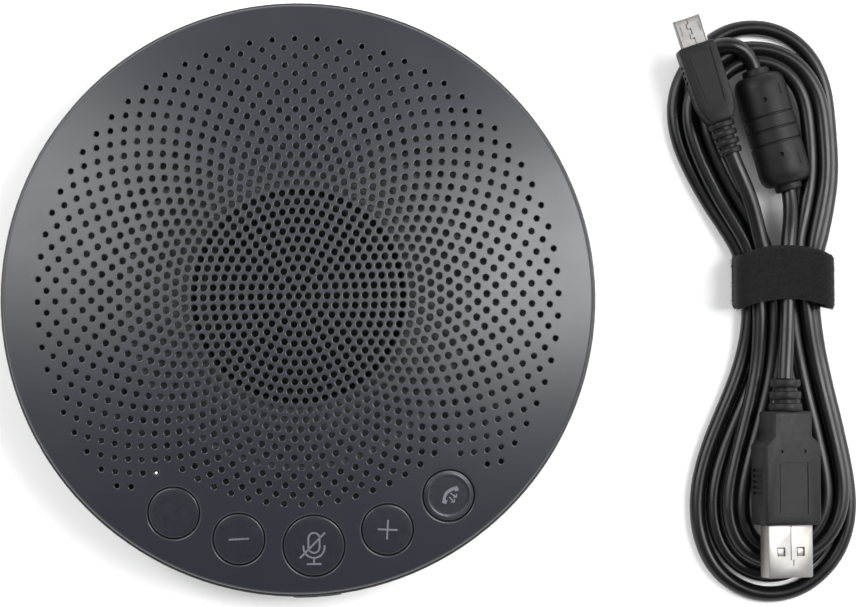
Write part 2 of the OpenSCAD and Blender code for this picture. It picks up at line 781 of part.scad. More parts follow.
module ferrite_bead() {
    color("#1a1a1d") cable_place() translate(ferrite_end) rotate([0, 0, ferrite_turn]) rotate([-90, 0, 0])
        rotate_extrude() difference() {
            polygon(concat([[0, 0], [3, 0], [3.4, 1.6]], arc(ferrite_r - 2, 3.6, 2, 2, -80, 0, 5),
                arc(ferrite_r - 2, ferrite_l - 3.6, 2, 2, 0, 80, 5),
                [[3.4, ferrite_l - 1.6], [3, ferrite_l], [0, ferrite_l]]));
            for (i = [-1, 0, 1]) translate([ferrite_r - 0.4, ferrite_l / 2 + 3.4 * i - 0.2]) square([1, 0.4]);
        }
}

module cable_usb_lead() {
    color("#17171a") cable_place() {
        tube(smooth(ferrite_strap_route, 3), cord_r, cord_sides);
        tube(smooth(usb_a_route, 3), cord_r, cord_sides);
    }
}

module usb_a_relief() {
    color("#1c1c1f") usb_a_place() rotate([0, 0, 180]) relief(usb_a_relief_l, 3.6, 4.1, 3);
}

module usb_a_body() {
    size = usb_a_body_size;
    neck = usb_a_neck_l;
    color("#1c1c1f") usb_a_place() rotate([0, 0, 180]) intersection() {
        along_y(usb_a_relief_l, size[1] + neck) rounded([size[0], size[2]], 1.2);
        translate([0, usb_a_relief_l, -size[2]]) linear_extrude(height = 2 * size[2]) polygon([
            [-5.2, 0], [5.2, 0], [5.2, neck], [size[0] / 2, neck + 2], [size[0] / 2, size[1] + neck + 1],
            [-size[0] / 2, size[1] + neck + 1], [-size[0] / 2, neck + 2], [-5.2, neck]]);
    }
}

module usb_a_shell() {
    base = usb_a_relief_l + usb_a_neck_l + usb_a_body_size[1];
    size = usb_a_shell_size;
    color("#dcdee2") usb_a_place() rotate([0, 0, 180]) difference() {
        along_y(base, usb_a_out) rounded(size, 0.5);
        along_y(base + 0.6, usb_a_out) square([size[0] - 0.7, size[1] - 0.7], center = true);
        for (x = [-1, 1]) translate([x * 2.55, base + usb_a_out - 6.2, 0]) translate([0, 0, -5]) block([2, 2, 10]);
    }
}

module usb_a_insert() {
    base = usb_a_relief_l + usb_a_neck_l + usb_a_body_size[1];
    color("#f2f2ee") usb_a_place() rotate([0, 0, 180])
        translate([0, base + 0.6 + (usb_a_out - 1.6) / 2, -usb_a_shell_size[1] / 2 + 0.35])
            block([usb_a_shell_size[0] - 0.8, usb_a_out - 1.6, 1.8]);
}

module hook_loop_strap() {
    outer = [strap_in[0] + 2 * strap_t, strap_in[1] + 2 * strap_t];
    color("#0e0e10") cable_place() translate([0, strap_w / 2, outer[1] / 2]) rotate([90, 0, 0])
        linear_extrude(height = strap_w) difference() {
            rounded(outer, 3 + strap_t);
            rounded(strap_in, 3);
        }
}

grille_cover();
lower_housing();
foot_ring();
inner_frame();
light_guide_ring();
led_ring_board();
leds();
speaker_gasket();
speaker_basket();
speaker_surround();
speaker_cone();
dust_cap();
voice_coil();
top_plate();
speaker_magnet();
magnet_yoke();
speaker_screws();
main_board();
processor_chip();
radio_shield();
board_capacitors();
usb_receptacle();
board_connectors();
board_screws();
battery_pack();
battery_leads();
speaker_leads();
key_board();
key_switches();
power_switch();
key_ribbon();
status_light_pipe();
mic_boots();
mic_capsules();
base_screws();
key_cap(0);  // button_aux
key_cap(1);  // button_minus
key_cap(2);  // button_mute
key_cap(3);  // button_plus
key_cap(4);  // button_call
key_plunger(0);  // plunger_aux
key_plunger(1);  // plunger_minus
key_plunger(2);  // plunger_mute
key_plunger(3);  // plunger_plus
key_plunger(4);  // plunger_call
power_button();
power_plunger();
micro_usb_shell();
micro_usb_body();
micro_usb_relief();
cable_micro_lead();
cable_hank();
cable_ferrite_lead();
ferrite_bead();
cable_usb_lead();
usb_a_relief();
usb_a_body();
usb_a_shell();
usb_a_insert();
hook_loop_strap();
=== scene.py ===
import math
import random

import bmesh
import bpy
from mathutils import Matrix, Vector
from mathutils.geometry import delaunay_2d_cdt


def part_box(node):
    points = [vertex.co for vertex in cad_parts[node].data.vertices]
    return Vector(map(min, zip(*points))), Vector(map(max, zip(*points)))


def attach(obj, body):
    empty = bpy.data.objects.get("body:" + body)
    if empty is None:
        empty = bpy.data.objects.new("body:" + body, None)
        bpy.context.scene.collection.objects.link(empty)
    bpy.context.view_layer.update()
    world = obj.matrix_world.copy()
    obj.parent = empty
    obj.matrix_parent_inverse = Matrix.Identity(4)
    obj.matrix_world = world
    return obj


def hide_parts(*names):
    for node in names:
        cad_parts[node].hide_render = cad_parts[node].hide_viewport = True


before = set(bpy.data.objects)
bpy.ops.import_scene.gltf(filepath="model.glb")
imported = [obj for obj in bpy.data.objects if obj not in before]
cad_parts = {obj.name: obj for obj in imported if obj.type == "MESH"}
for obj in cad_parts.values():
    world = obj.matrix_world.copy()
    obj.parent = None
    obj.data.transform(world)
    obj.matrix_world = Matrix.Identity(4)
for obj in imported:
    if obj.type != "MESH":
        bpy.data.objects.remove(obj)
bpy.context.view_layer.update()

# A conference speakerphone and its wound USB lead. Metres, +Z up, the keys towards -Y.
# Names ending in _MM hold millimetres, as the lengths of the cable and the icons read best that way.
MM = 0.001

# ---- Sizes read from the frame ----

cover_low, cover_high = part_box("grille_cover")
COVER_R = cover_high.x
BODY_TOP = cover_high.z
SEAM_Z = cover_low.z
COVER_T = 1.2 * MM
DOME_RISE = 11 * MM
DOME_R = (COVER_R ** 2 + DOME_RISE ** 2) / (2 * DOME_RISE)
DOME_Z = BODY_TOP - DOME_R

KEYS = ("aux", "minus", "mute", "plus", "call")
KEY_HOLE_MORE = 0.26 * MM  # from a key's bare moulding to its hole
KEY_SINK = 0.15 * MM
FLANGE_W = 1 * MM
FLANGE_GAP = 0.15 * MM
STEM_R = 1.6 * MM


def key_place(key):
    """Centre and radius of a key, from the box of its node. The flange is wider than the cap."""
    low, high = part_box("button_" + key)
    middle = (low + high) / 2
    return middle.x, middle.y, (high.x - low.x) / 2 - FLANGE_W


def dome_z(x, y, sink=0.0):
    """Height of the dome over a point, or of a surface parallel to it and sunk below."""
    ball = DOME_R - sink
    return DOME_Z + math.sqrt(ball * ball - x * x - y * y)


def dome_normal(x, y):
    return Vector((x, y, dome_z(x, y) - DOME_Z)).normalized()


def polar(radius, degrees):
    turn = math.radians(degrees)
    return radius * math.cos(turn), radius * math.sin(turn)


# ---- Camera, light and floor ----

PICTURE_TURN = math.radians(3.3)          # the picture's right is this far clockwise of +X
CAMERA_HEIGHT = 0.630
CAMERA_FOOT = (7.7 * MM, -24.9 * MM)      # under the camera, along the picture's right and up
CAMERA_AIM = (31.57 * MM, -0.5 * MM)      # what the picture's middle shows
CAMERA_ROLL = -0.0048
CAMERA_LENS = 108.4


def from_picture(right, up, height=0.0):
    """A point given along the picture's right and up, in the row frame."""
    c, s = math.cos(PICTURE_TURN), math.sin(PICTURE_TURN)
    return Vector((c * right + s * up, -s * right + c * up, height))


def add_camera():
    data = bpy.data.cameras.new("camera")
    data.lens = CAMERA_LENS
    data.sensor_width = 36.0
    data.clip_start, data.clip_end = 0.05, 20.0
    camera = bpy.data.objects.new("camera", data)
    bpy.context.scene.collection.objects.link(camera)
    camera.location = from_picture(*CAMERA_FOOT, CAMERA_HEIGHT)
    back = (camera.location - from_picture(*CAMERA_AIM)).normalized()
    right = from_picture(-math.sin(CAMERA_ROLL), math.cos(CAMERA_ROLL)).cross(back).normalized()
    up = back.cross(right)
    camera.rotation_euler = Matrix((right, up, back)).transposed().to_euler()
    bpy.context.scene.camera = camera


def add_softbox(name, place, target, size, power):
    data = bpy.data.lights.new(name, "AREA")
    data.shape = "RECTANGLE"
    data.size, data.size_y = size
    data.energy = power
    lamp = bpy.data.objects.new(name, data)
    bpy.context.scene.collection.objects.link(lamp)
    lamp.location = place
    lamp.rotation_euler = (Vector(place) - Vector(target)).to_track_quat("Z", "Y").to_euler()


# Axis of the direction, the two values it is read between, and the brightness at each
WORLD_RAMPS = (("Y", -0.8, 0.5, 0.05, 0.5), ("Z", 0.62, 0.1, 0.0, 1.9))


def add_world():
    """A white studio: bright low down all round, dim overhead and in front."""
    world = bpy.data.worlds.new("studio")
    world.use_nodes = True
    tree = world.node_tree
    place = tree.nodes.new("ShaderNodeTexCoord")
    split = tree.nodes.new("ShaderNodeSeparateXYZ")
    total = tree.nodes.new("ShaderNodeMath")
    total.operation = "ADD"
    tree.links.new(place.outputs["Generated"], split.inputs["Vector"])
    for i, (axis, low, high, dim, bright) in enumerate(WORLD_RAMPS):
        ramp = tree.nodes.new("ShaderNodeMapRange")
        ramp.interpolation_type = "SMOOTHSTEP"
        for socket, value in (("From Min", low), ("From Max", high), ("To Min", dim), ("To Max", bright)):
            ramp.inputs[socket].default_value = value
        tree.links.new(split.outputs[axis], ramp.inputs["Value"])
        tree.links.new(ramp.outputs["Result"], total.inputs[i])
    tree.links.new(total.outputs["Value"], tree.nodes["Background"].inputs["Strength"])
    tree.nodes["Background"].inputs["Color"].default_value = (1.0, 1.0, 1.0, 1.0)
    bpy.context.scene.world = world


def add_lights():
    middle = (0.03, 0.0, 0.02)
    add_softbox("left_box", (-0.88, 0.45, 1.0), middle, (0.7, 1.1), 16.0)
    add_softbox("right_box", (0.93, 0.15, 1.08), middle, (0.6, 1.1), 26.0)
    add_softbox("top_box", (0.0, 0.2, 2.0), middle, (1.0, 0.8), 1.5)
    add_world()
    bpy.context.scene.view_settings.view_transform = "Standard"


def add_floor(material):
    bpy.ops.mesh.primitive_plane_add(size=6.0, location=(0, 0, 0))
    floor = bpy.context.object
    floor.name = "floor"
    floor.data.materials.append(material)


# ---- Materials ----

def new_material(name, color, roughness, **sockets):
    """A Principled material. Further sockets go by name with _ for a space."""
    material = bpy.data.materials.new(name)
    material.use_nodes = True
    shader = material.node_tree.nodes["Principled BSDF"]
    shader.inputs["Base Color"].default_value = (*color, 1.0)
    shader.inputs["Roughness"].default_value = roughness
    for socket, value in sockets.items():
        shader.inputs[socket.replace("_", " ")].default_value = value
    material.diffuse_color = (*color, 1.0)
    return material


def add_node(material, kind, **settings):
    node = material.node_tree.nodes.new(kind)
    for key, value in settings.items():
        if key in node.inputs:
            node.inputs[key].default_value = value
        else:
            setattr(node, key, value)
    return node


def link(material, source, target):
    material.node_tree.links.new(source, target)


def place_of(material):
    """The piece's own coordinates, in metres, shared by all patterns of the material."""
    found = [n for n in material.node_tree.nodes if n.type == "TEX_COORD"]
    node = found[0] if found else add_node(material, "ShaderNodeTexCoord")
    return node.outputs["Object"]


def noise(material, grain, detail=3.0, stretch=None):
    """Noise whose features are about grain metres across; stretch scales the three axes."""
    source = place_of(material)
    if stretch:
        mapping = add_node(material, "ShaderNodeMapping")
        mapping.inputs["Scale"].default_value = stretch
        link(material, source, mapping.inputs["Vector"])
        source = mapping.outputs["Vector"]
    node = add_node(material, "ShaderNodeTexNoise", Scale=1.0 / grain, Detail=detail)
    link(material, source, node.inputs["Vector"])
    return node.outputs["Fac"]


def spread_values(material, source, low, high):
    node = add_node(material, "ShaderNodeMapRange")
    node.inputs["From Min"].default_value = 0.3
    node.inputs["From Max"].default_value = 0.7
    node.inputs["To Min"].default_value = low
    node.inputs["To Max"].default_value = high
    link(material, source, node.inputs["Value"])
    return node.outputs["Result"]


def shader_of(material):
    return material.node_tree.nodes["Principled BSDF"]


def vary_color(material, source, dark, light):
    ramp = add_node(material, "ShaderNodeValToRGB")
    ramp.color_ramp.elements[0].position = 0.3
    ramp.color_ramp.elements[0].color = (*dark, 1.0)
    ramp.color_ramp.elements[1].position = 0.7
    ramp.color_ramp.elements[1].color = (*light, 1.0)
    link(material, source, ramp.inputs["Fac"])
    link(material, ramp.outputs["Color"], shader_of(material).inputs["Base Color"])


def vary_roughness(material, source, low, high):
    link(material, spread_values(material, source, low, high), shader_of(material).inputs["Roughness"])


def add_bump(material, source, depth, strength=1.0):
    """Bump of that depth in metres. A second call stacks on the first."""
    node = add_node(material, "ShaderNodeBump", Strength=strength, Distance=depth)
    link(material, source, node.inputs["Height"])
    normal = shader_of(material).inputs["Normal"]
    if normal.is_linked:
        link(material, normal.links[0].from_socket, node.inputs["Normal"])
    link(material, node.outputs["Normal"], normal)


def shade(color, by):
    return tuple(min(1.0, c * by) for c in color)


def moulded(name, color, roughness, grain, depth, contrast=0.12, **sockets):
    """Moulded plastic or rubber: a fine spark-eroded grain, slow colour and gloss changes."""
    material = new_material(name, color, roughness, **sockets)
    vary_color(material, noise(material, grain * 14), shade(color, 1 - contrast), shade(color, 1 + contrast))
    vary_roughness(material, noise(material, grain * 5), roughness - 0.05, roughness + 0.05)
    add_bump(material, noise(material, grain, 4.0), depth)
    return material


def metal(name, color, roughness, stretch, depth=2e-6):
    """Plated or rolled metal with fine drawn lines along one axis."""
    material = new_material(name, color, roughness, Metallic=1.0)
    lines = noise(material, 0.0012, 5.0, stretch)
    vary_color(material, noise(material, 0.004), shade(color, 0.9), shade(color, 1.04))
    vary_roughness(material, lines, roughness - 0.06, roughness + 0.08)
    add_bump(material, lines, depth)
    return material


def satin_cover():
    """The dome's satin paint, with a fine pearl grain."""
    color = (0.0135, 0.0145, 0.0205)
    material = new_material("cover_satin", color, 0.36)
    vary_color(material, noise(material, 0.00012, 2.0), shade(color, 0.85), shade(color, 1.15))
    vary_roughness(material, noise(material, 0.009), 0.34, 0.38)
    add_bump(material, noise(material, 0.00011, 2.0), 1.5e-6)
    return material


def felt():
    """The looped face of the hook-and-loop strap."""
    color = (0.0035, 0.0035, 0.0038)
    material = new_material("strap_felt", color, 0.95, Sheen_Weight=0.06, Sheen_Roughness=0.5,
                            Specular_IOR_Level=0.2)
    cells = add_node(material, "ShaderNodeTexVoronoi", Scale=1.0 / 0.0005)
    link(material, place_of(material), cells.inputs["Vector"])
    vary_color(material, noise(material, 0.0006, 5.0), shade(color, 0.5), shade(color, 1.9))
    add_bump(material, cells.outputs["Distance"], 1.2e-4)
    add_bump(material, noise(material, 0.00018, 5.0), 1.5e-4)
    return material


def circuit_board():
    """Solder mask with a faint grid of copper tracks under it."""
    material = new_material("board_mask", (0.012, 0.085, 0.04), 0.32, Coat_Weight=0.4, Coat_Roughness=0.2)
    tracks = add_node(material, "ShaderNodeTexBrick", Scale=1.0 / 0.004)
    tracks.inputs["Mortar Size"].default_value = 0.06
    tracks.inputs["Color1"].default_value = (0.010, 0.075, 0.034, 1.0)
    tracks.inputs["Color2"].default_value = (0.012, 0.085, 0.040, 1.0)
    tracks.inputs["Mortar"].default_value = (0.035, 0.15, 0.065, 1.0)
    link(material, place_of(material), tracks.inputs["Vector"])
    link(material, tracks.outputs["Color"], shader_of(material).inputs["Base Color"])
    add_bump(material, tracks.outputs["Fac"], 2e-5)
    return material


def white_floor():
    material = new_material("floor_white", (0.86, 0.86, 0.86), 0.9)
    vary_color(material, noise(material, 0.3), (0.85, 0.85, 0.85), (0.87, 0.87, 0.87))
    return material


def make_materials():
    """Every material of the part, by a short name."""
    return {
        "cover": satin_cover(),
        "key": moulded("key_satin", (0.012, 0.013, 0.0185), 0.36, 0.00012, 2e-6),
        "icon": moulded("icon_print", (0.105, 0.108, 0.128), 0.5, 0.00015, 2e-6),
        "housing": moulded("housing_black", (0.010, 0.010, 0.012), 0.46, 0.00022, 1.2e-5),
        "power": moulded("power_key_black", (0.016, 0.017, 0.020), 0.4, 0.0002, 5e-6),
        "foot": moulded("foot_rubber", (0.012, 0.012, 0.012), 0.78, 0.0003, 2.5e-5),
        "frame": moulded("frame_grey", (0.20, 0.205, 0.22), 0.6, 0.0003, 1.5e-5),
        "guide": moulded("guide_white", (0.26, 0.26, 0.27), 0.4, 0.0005, 3e-6, 0.04, Subsurface_Weight=0.2,
                         Subsurface_Radius=(0.002, 0.002, 0.002)),
        "pipe": moulded("pipe_smoke", (0.012, 0.012, 0.013), 0.3, 0.0005, 2e-6),
        "lit": moulded("status_light", (0.95, 0.95, 0.92), 0.3, 0.0005, 2e-6, 0.03, Emission_Strength=1.4,
                       Emission_Color=(1.0, 0.98, 0.92, 1.0)),
        "cone": moulded("cone_paper", (0.012, 0.012, 0.013), 0.85, 0.0005, 4e-5),
        "surround": moulded("surround_rubber", (0.009, 0.009, 0.010), 0.55, 0.0004, 1e-5),
        "basket": moulded("basket_paint", (0.020, 0.020, 0.022), 0.5, 0.0004, 1e-5),
        "copper": metal("coil_copper", (0.72, 0.36, 0.17), 0.35, (1, 1, 30)),
        "iron": metal("yoke_zinc", (0.52, 0.53, 0.54), 0.38, (1, 1, 1)),
        "ferrite": moulded("magnet_ferrite", (0.035, 0.035, 0.038), 0.6, 0.0003, 1e-5),
        "screw": metal("screw_zinc", (0.60, 0.61, 0.62), 0.3, (1, 1, 1)),
        "board": circuit_board(),
        "chip": moulded("chip_resin", (0.012, 0.012, 0.013), 0.5, 0.0002, 6e-6),
        "tin": metal("shield_tin", (0.70, 0.71, 0.72), 0.32, (1, 12, 1)),
        "sleeve": moulded("capacitor_sleeve", (0.02, 0.03, 0.075), 0.3, 0.0004, 4e-6),
        "nylon": moulded("connector_nylon", (0.72, 0.68, 0.56), 0.5, 0.0003, 5e-6),
        "foil": moulded("battery_foil", (0.33, 0.34, 0.37), 0.32, 0.0015, 4e-5, 0.06, Metallic=0.6),
        "red_wire": moulded("lead_red", (0.36, 0.02, 0.012), 0.4, 0.0006, 6e-6),
        "flex": moulded("ribbon_polyimide", (0.42, 0.17, 0.035), 0.3, 0.0008, 5e-6),
        "boot": moulded("boot_silicone", (0.010, 0.010, 0.011), 0.65, 0.0003, 8e-6),
        "brass": metal("capsule_brass", (0.70, 0.52, 0.25), 0.32, (1, 1, 1)),
        "cable": moulded("cable_pvc", (0.0028, 0.0028, 0.0032), 0.31, 0.0009, 1.5e-6, 0.15,
                         Specular_IOR_Level=0.3),
        "plug": moulded("plug_pvc", (0.0042, 0.0042, 0.0048), 0.5, 0.00022, 1.1e-5, 0.15,
                        Specular_IOR_Level=0.2),
        "steel": metal("shell_nickel", (0.235, 0.226, 0.216), 0.42, (14, 1, 1)),
        "insert": moulded("insert_white", (0.78, 0.78, 0.75), 0.4, 0.0004, 4e-6, 0.04),
        "felt": felt(),
    }


NODE_FINISH = {
    "lower_housing": "housing", "foot_ring": "foot", "inner_frame": "frame", "light_guide_ring": "guide",
    "led_ring_board": "board", "leds": "guide", "speaker_gasket": "surround", "speaker_basket": "basket",
    "speaker_surround": "surround", "speaker_cone": "cone", "dust_cap": "cone", "voice_coil": "copper",
    "top_plate": "iron", "speaker_magnet": "ferrite", "magnet_yoke": "iron", "speaker_screws": "screw",
    "main_board": "board", "processor_chip": "chip", "radio_shield": "tin", "board_capacitors": "sleeve",
    "usb_receptacle": "tin", "board_connectors": "nylon", "board_screws": "screw", "battery_pack": "foil",
    "battery_leads": "red_wire", "speaker_leads": "tin", "key_board": "board", "key_switches": "tin",
    "power_switch": "tin", "key_ribbon": "flex", "status_light_pipe": "pipe", "mic_boots": "boot",
    "mic_capsules": "brass", "base_screws": "screw", "power_button": "power", "power_plunger": "boot",
    **{"plunger_" + key: "boot" for key in KEYS},
}


def finish_nodes(materials):
    """Gives every CAD node that stays as it is a better material."""
    for node, finish in NODE_FINISH.items():
        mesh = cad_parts[node].data
        mesh.materials.clear()
        mesh.materials.append(materials[finish])


# ---- Mesh helpers ----

def new_object(name, mesh, material):
    piece = bpy.data.objects.new(name, mesh)
    bpy.context.scene.collection.objects.link(piece)
    mesh.materials.append(material)
    return piece


def mesh_of(name, points, faces, smooth=True):
    mesh = bpy.data.meshes.new(name)
    mesh.from_pydata(points, [], faces)
    mesh.polygons.foreach_set("use_smooth", [smooth] * len(mesh.polygons))
    return mesh


def from_bmesh(name, work, smooth=True):
    bmesh.ops.recalc_face_normals(work, faces=work.faces)
    mesh = bpy.data.meshes.new(name)
    work.to_mesh(mesh)
    work.free()
    mesh.polygons.foreach_set("use_smooth", [smooth] * len(mesh.polygons))
    return mesh


def soften(piece, degrees=35):
    """Smooth shading that keeps edges sharper than that angle."""
    piece.data.set_sharp_from_angle(angle=math.radians(degrees))


# ---- Perforated cover ----

RINGS = 28
RING_PITCH = 2.2 * MM
FULL_RING = 12          # from this ring outwards each ring has as many holes as this one
KEY_RING = 23           # from this ring outwards the holes leave room for the keys
KEY_ARC = 33.6          # half of the arc without holes, in degrees
KEY_ROOM = 10.1 * MM    # from the middle of an outer key to the nearest hole
RING_PHASE = -2.5
HOLE_R = 0.73 * MM
EDGE_HOLE_R = 0.58 * MM
SHRINK_RING = 16
HOLE_SIDES = 14
LIP = 0.31 * MM
KEY_LIP = 0.55 * MM
KEY_SIDES = 72
RIM_SIDES = 240
RIM_R = 1.0 * MM
STATUS_RING = 24
STATUS_TURN = -132.5    # degrees


def ring_radius(ring):
    """Radius of a ring of holes that are equally spaced along the dome."""
    return DOME_R * math.sin(ring * RING_PITCH / DOME_R)


def leaves_room(ring, x, y):
    if ring < KEY_RING:
        return True
    turn = math.degrees(math.atan2(y, x)) + 90
    outer = [key_place(key) for key in ("aux", "call")]
    return abs(turn) > KEY_ARC and all(math.hypot(x - kx, y - ky) > KEY_ROOM for kx, ky, _ in outer)


def hole_list():
    """Centre and radius of each hole of the grille, and the centres that were left out."""
    holes, skipped = [(0.0, 0.0, HOLE_R)], []
    for ring in range(1, RINGS + 1):
        count = 6 * min(ring, FULL_RING)
        phase = 0 if ring > FULL_RING and ring % 2 else RING_PHASE
        share = max(0, ring - SHRINK_RING) / (RINGS - SHRINK_RING)
        radius = HOLE_R + (EDGE_HOLE_R - HOLE_R) * share
        for i in range(count):
            x, y = polar(ring_radius(ring), phase + 360 / count * i)
            if leaves_room(ring, x, y):
                holes.append((x, y, radius))
            else:
                skipped.append((x, y))
    return holes, skipped


class Shell:
    """A mesh with a normal for each corner, put together face by face."""

    def __init__(self):
        self.points, self.faces, self.normals = [], [], []

    def add(self, point):
        self.points.append(point)
        return len(self.points) - 1

    def face(self, corners, normals):
        self.faces.append(corners)
        self.normals.extend(normals)

    def band(self, upper, lower, upper_normals, lower_normals, inward):
        """Quads between two closed rings of points; inward for a hole, outward for a rim."""
        count = len(upper)
        for i in range(count):
            j = (i + 1) % count
            corners = [upper[i], upper[j], lower[j], lower[i]]
            normals = [upper_normals[i], upper_normals[j], lower_normals[j], lower_normals[i]]
            if not inward:
                corners.reverse()
                normals.reverse()
            self.face(corners, normals)

    def mesh(self, name):
        made = mesh_of(name, self.points, self.faces)
        made.normals_split_custom_set(self.normals)
        return made


def lip_steps(radius, lip, steps):
    """Radius, drop and turn of each ring round a hole's rounded edge."""
    turns = [math.pi / 2 * i / steps for i in range(steps + 1)]
    return [(radius + lip * (1 - math.sin(t)), lip * (1 - math.cos(t)), t) for t in turns]


def circle(x, y, radius, sides):
    return [(x + radius * math.cos(2 * math.pi * i / sides), y + radius * math.sin(2 * math.pi * i / sides))
            for i in range(sides)]


def build_cover():
    """The dome with all its holes: top and underside share one triangulation round the holes."""
    holes, skipped = hole_list()
    status_x, status_y = polar(ring_radius(STATUS_RING), STATUS_TURN)
    loops = [(x, y, r, LIP, 2, HOLE_SIDES) for x, y, r in holes if math.hypot(x - status_x, y - status_y) > r]
    loops.append((status_x, status_y, EDGE_HOLE_R, LIP, 2, HOLE_SIDES))
    loops += [(x, y, r + KEY_HOLE_MORE, KEY_LIP, 4, KEY_SIDES) for x, y, r in map(key_place, KEYS)]
    flat, owner, edges = [], [], []
    for number, (x, y, radius, lip, _, sides) in enumerate(loops):
        first = len(flat)
        flat += circle(x, y, radius + lip, sides)
        owner += [number] * sides
        edges += [(first + i, first + (i + 1) % sides) for i in range(sides)]
    rim_first = len(flat)
    rim_top = COVER_R - RIM_R
    flat += circle(0, 0, rim_top, RIM_SIDES)
    edges += [(rim_first + i, rim_first + (i + 1) % RIM_SIDES) for i in range(RIM_SIDES)]
    flat += skipped_points(skipped, loops)
    owner += [-1] * (len(flat) - rim_first)
    found = delaunay_2d_cdt([Vector((x / MM, y / MM)) for x, y in flat], edges, [], 0, 1e-6)
    first_of = [origins[0] for origins in found[3]]
    shell = Shell()
    outward = [dome_normal(x, y) for x, y in flat]
    top = [shell.add((x, y, dome_z(x, y))) for x, y in flat]
    under = list(top)
    inward = [-n for n in outward]
    add_lips(shell, loops, flat, top, under, outward)
    add_rim(shell, flat, rim_first, top, under, outward)
    for i in range(rim_first + RIM_SIDES, len(flat)):
        under[i] = shell.add((*flat[i], dome_z(*flat[i], COVER_T)))
    for triangle in found[2]:
        a, b, c = (first_of[i] for i in triangle)
        if owner[a] >= 0 and owner[a] == owner[b] == owner[c]:
            continue
        shell.face([top[a], top[b], top[c]], [outward[a], outward[b], outward[c]])
        shell.face([under[c], under[b], under[a]], [inward[c], inward[b], inward[a]])
    return shell.mesh("cover")


def skipped_points(skipped, loops):
    """Points that carry the dome's curve where it has no holes."""
    margin = 1.2 * MM
    wide = [(x, y, r + lip + margin) for x, y, r, lip, _, sides in loops if sides == KEY_SIDES]
    spare = list(skipped)
    for ring in range(RINGS + 1, RINGS + 3):
        spare += [polar(ring_radius(ring), 2.5 * i + 1.25 * ring) for i in range(144)]
    return [(x, y) for x, y in spare if all(math.hypot(x - kx, y - ky) > room for kx, ky, room in wide)]


def add_lips(shell, loops, flat, top, under, outward):
    """The rounded lip and the wall of every hole."""
    start = 0
    for x, y, radius, lip, steps, sides in loops:
        spokes = [Vector((math.cos(2 * math.pi * i / sides), math.sin(2 * math.pi * i / sides), 0))
                  for i in range(sides)]
        ring = top[start:start + sides]
        normals = outward[start:start + sides]
        for r, drop, turn in lip_steps(radius, lip, steps)[1:]:
            lower, tilted = [], []
            for i, spoke in enumerate(spokes):
                px, py = x + r * spoke.x, y + r * spoke.y
                lower.append(shell.add((px, py, dome_z(px, py) - drop)))
                tilted.append((math.cos(turn) * outward[start + i] - math.sin(turn) * spoke).normalized())
            shell.band(ring, lower, normals, tilted, True)
            ring, normals = lower, tilted
        walls = [-spoke for spoke in spokes]
        bottom = []
        for spoke in spokes:
            px, py = x + radius * spoke.x, y + radius * spoke.y
            bottom.append(shell.add((px, py, dome_z(px, py, COVER_T))))
        shell.band(ring, bottom, walls, walls, True)
        under[start:start + sides] = bottom
        start += sides


def add_rim(shell, flat, first, top, under, outward):
    """The cover's rounded outer edge, its upright wall and the inside of that wall."""
    ring = top[first:first + RIM_SIDES]
    normals = outward[first:first + RIM_SIDES]
    spokes = [Vector((x, y, 0)).normalized() for x, y in flat[first:first + RIM_SIDES]]
    rim_top = COVER_R - RIM_R
    base = dome_z(rim_top, 0)
    steps = 6
    profile = []
    for i in range(1, steps + 1):
        turn = math.pi / 2 * i / steps
        profile.append((rim_top + RIM_R * math.sin(turn), base - RIM_R * (1 - math.cos(turn)), turn))
    chamfer = 0.15 * MM
    profile.append((COVER_R, SEAM_Z + chamfer, math.pi / 2))
    profile.append((COVER_R - chamfer, SEAM_Z, math.pi))
    profile.append((COVER_R - COVER_T, SEAM_Z, math.pi))
    for r, z, turn in profile:
        lower = [shell.add((r * s.x, r * s.y, z)) for s in spokes]
        tilted = [(math.sin(turn) * s + Vector((0, 0, math.cos(turn)))).normalized() for s in spokes]
        shell.band(ring, lower, normals, tilted, False)
        ring, normals = lower, tilted
    inside = [-s for s in spokes]
    z = dome_z(COVER_R - COVER_T, 0, COVER_T) - 0.5 * MM
    lower = [shell.add(((COVER_R - COVER_T) * s.x, (COVER_R - COVER_T) * s.y, z)) for s in spokes]
    shell.band(ring, lower, inside, inside, False)
    under[first:first + RIM_SIDES] = lower


def add_cover(materials):
    cover = new_object("perforated_cover", build_cover(), materials["cover"])
    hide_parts("grille_cover")
    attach(cover, "speakerphone")


LENS_RISE = 0.16 * MM
LENS_MM = ((0.12, 0.15), (0.2, 0.11), (0.25, 0.04), (0.27, -0.1))  # radius, and height over the pipe


def add_status_lens(materials):
    """The small bright point of the status light, on the top of its pipe."""
    low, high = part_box("status_light_pipe")
    middle = (low + high) / 2
    x, y = middle.x - 0.1 * MM, middle.y - 0.1 * MM
    points, faces, sides = [(x, y, high.z + LENS_RISE)], [], 20
    for r, z in LENS_MM:
        points += [(px, py, high.z + z * MM) for px, py in circle(x, y, r * MM, sides)]
    for i in range(sides):
        j = (i + 1) % sides
        faces.append((0, 1 + i, 1 + j))
        faces += [(1 + k * sides + i, 1 + (k + 1) * sides + i, 1 + (k + 1) * sides + j, 1 + k * sides + j)
                  for k in range(len(LENS_MM) - 1)]
    faces.append(tuple(1 + (len(LENS_MM) - 1) * sides + i for i in range(sides - 1, -1, -1)))
    lens = new_object("status_lens", mesh_of("lens", points, faces), materials["lit"])
    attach(lens, "speakerphone")


# ---- Keys ----

CAP_SIDES = 72
CAP_EDGE = 0.55 * MM
CAP_MORE = 0.16 * MM       # the painted cap is this much larger in radius than its bare moulding
CAP_RINGS = (0.2, 0.45, 0.7)
EDGE_STEPS = 5
FLANGE_RISE = 3.3 * MM     # underside of the flange over the switches
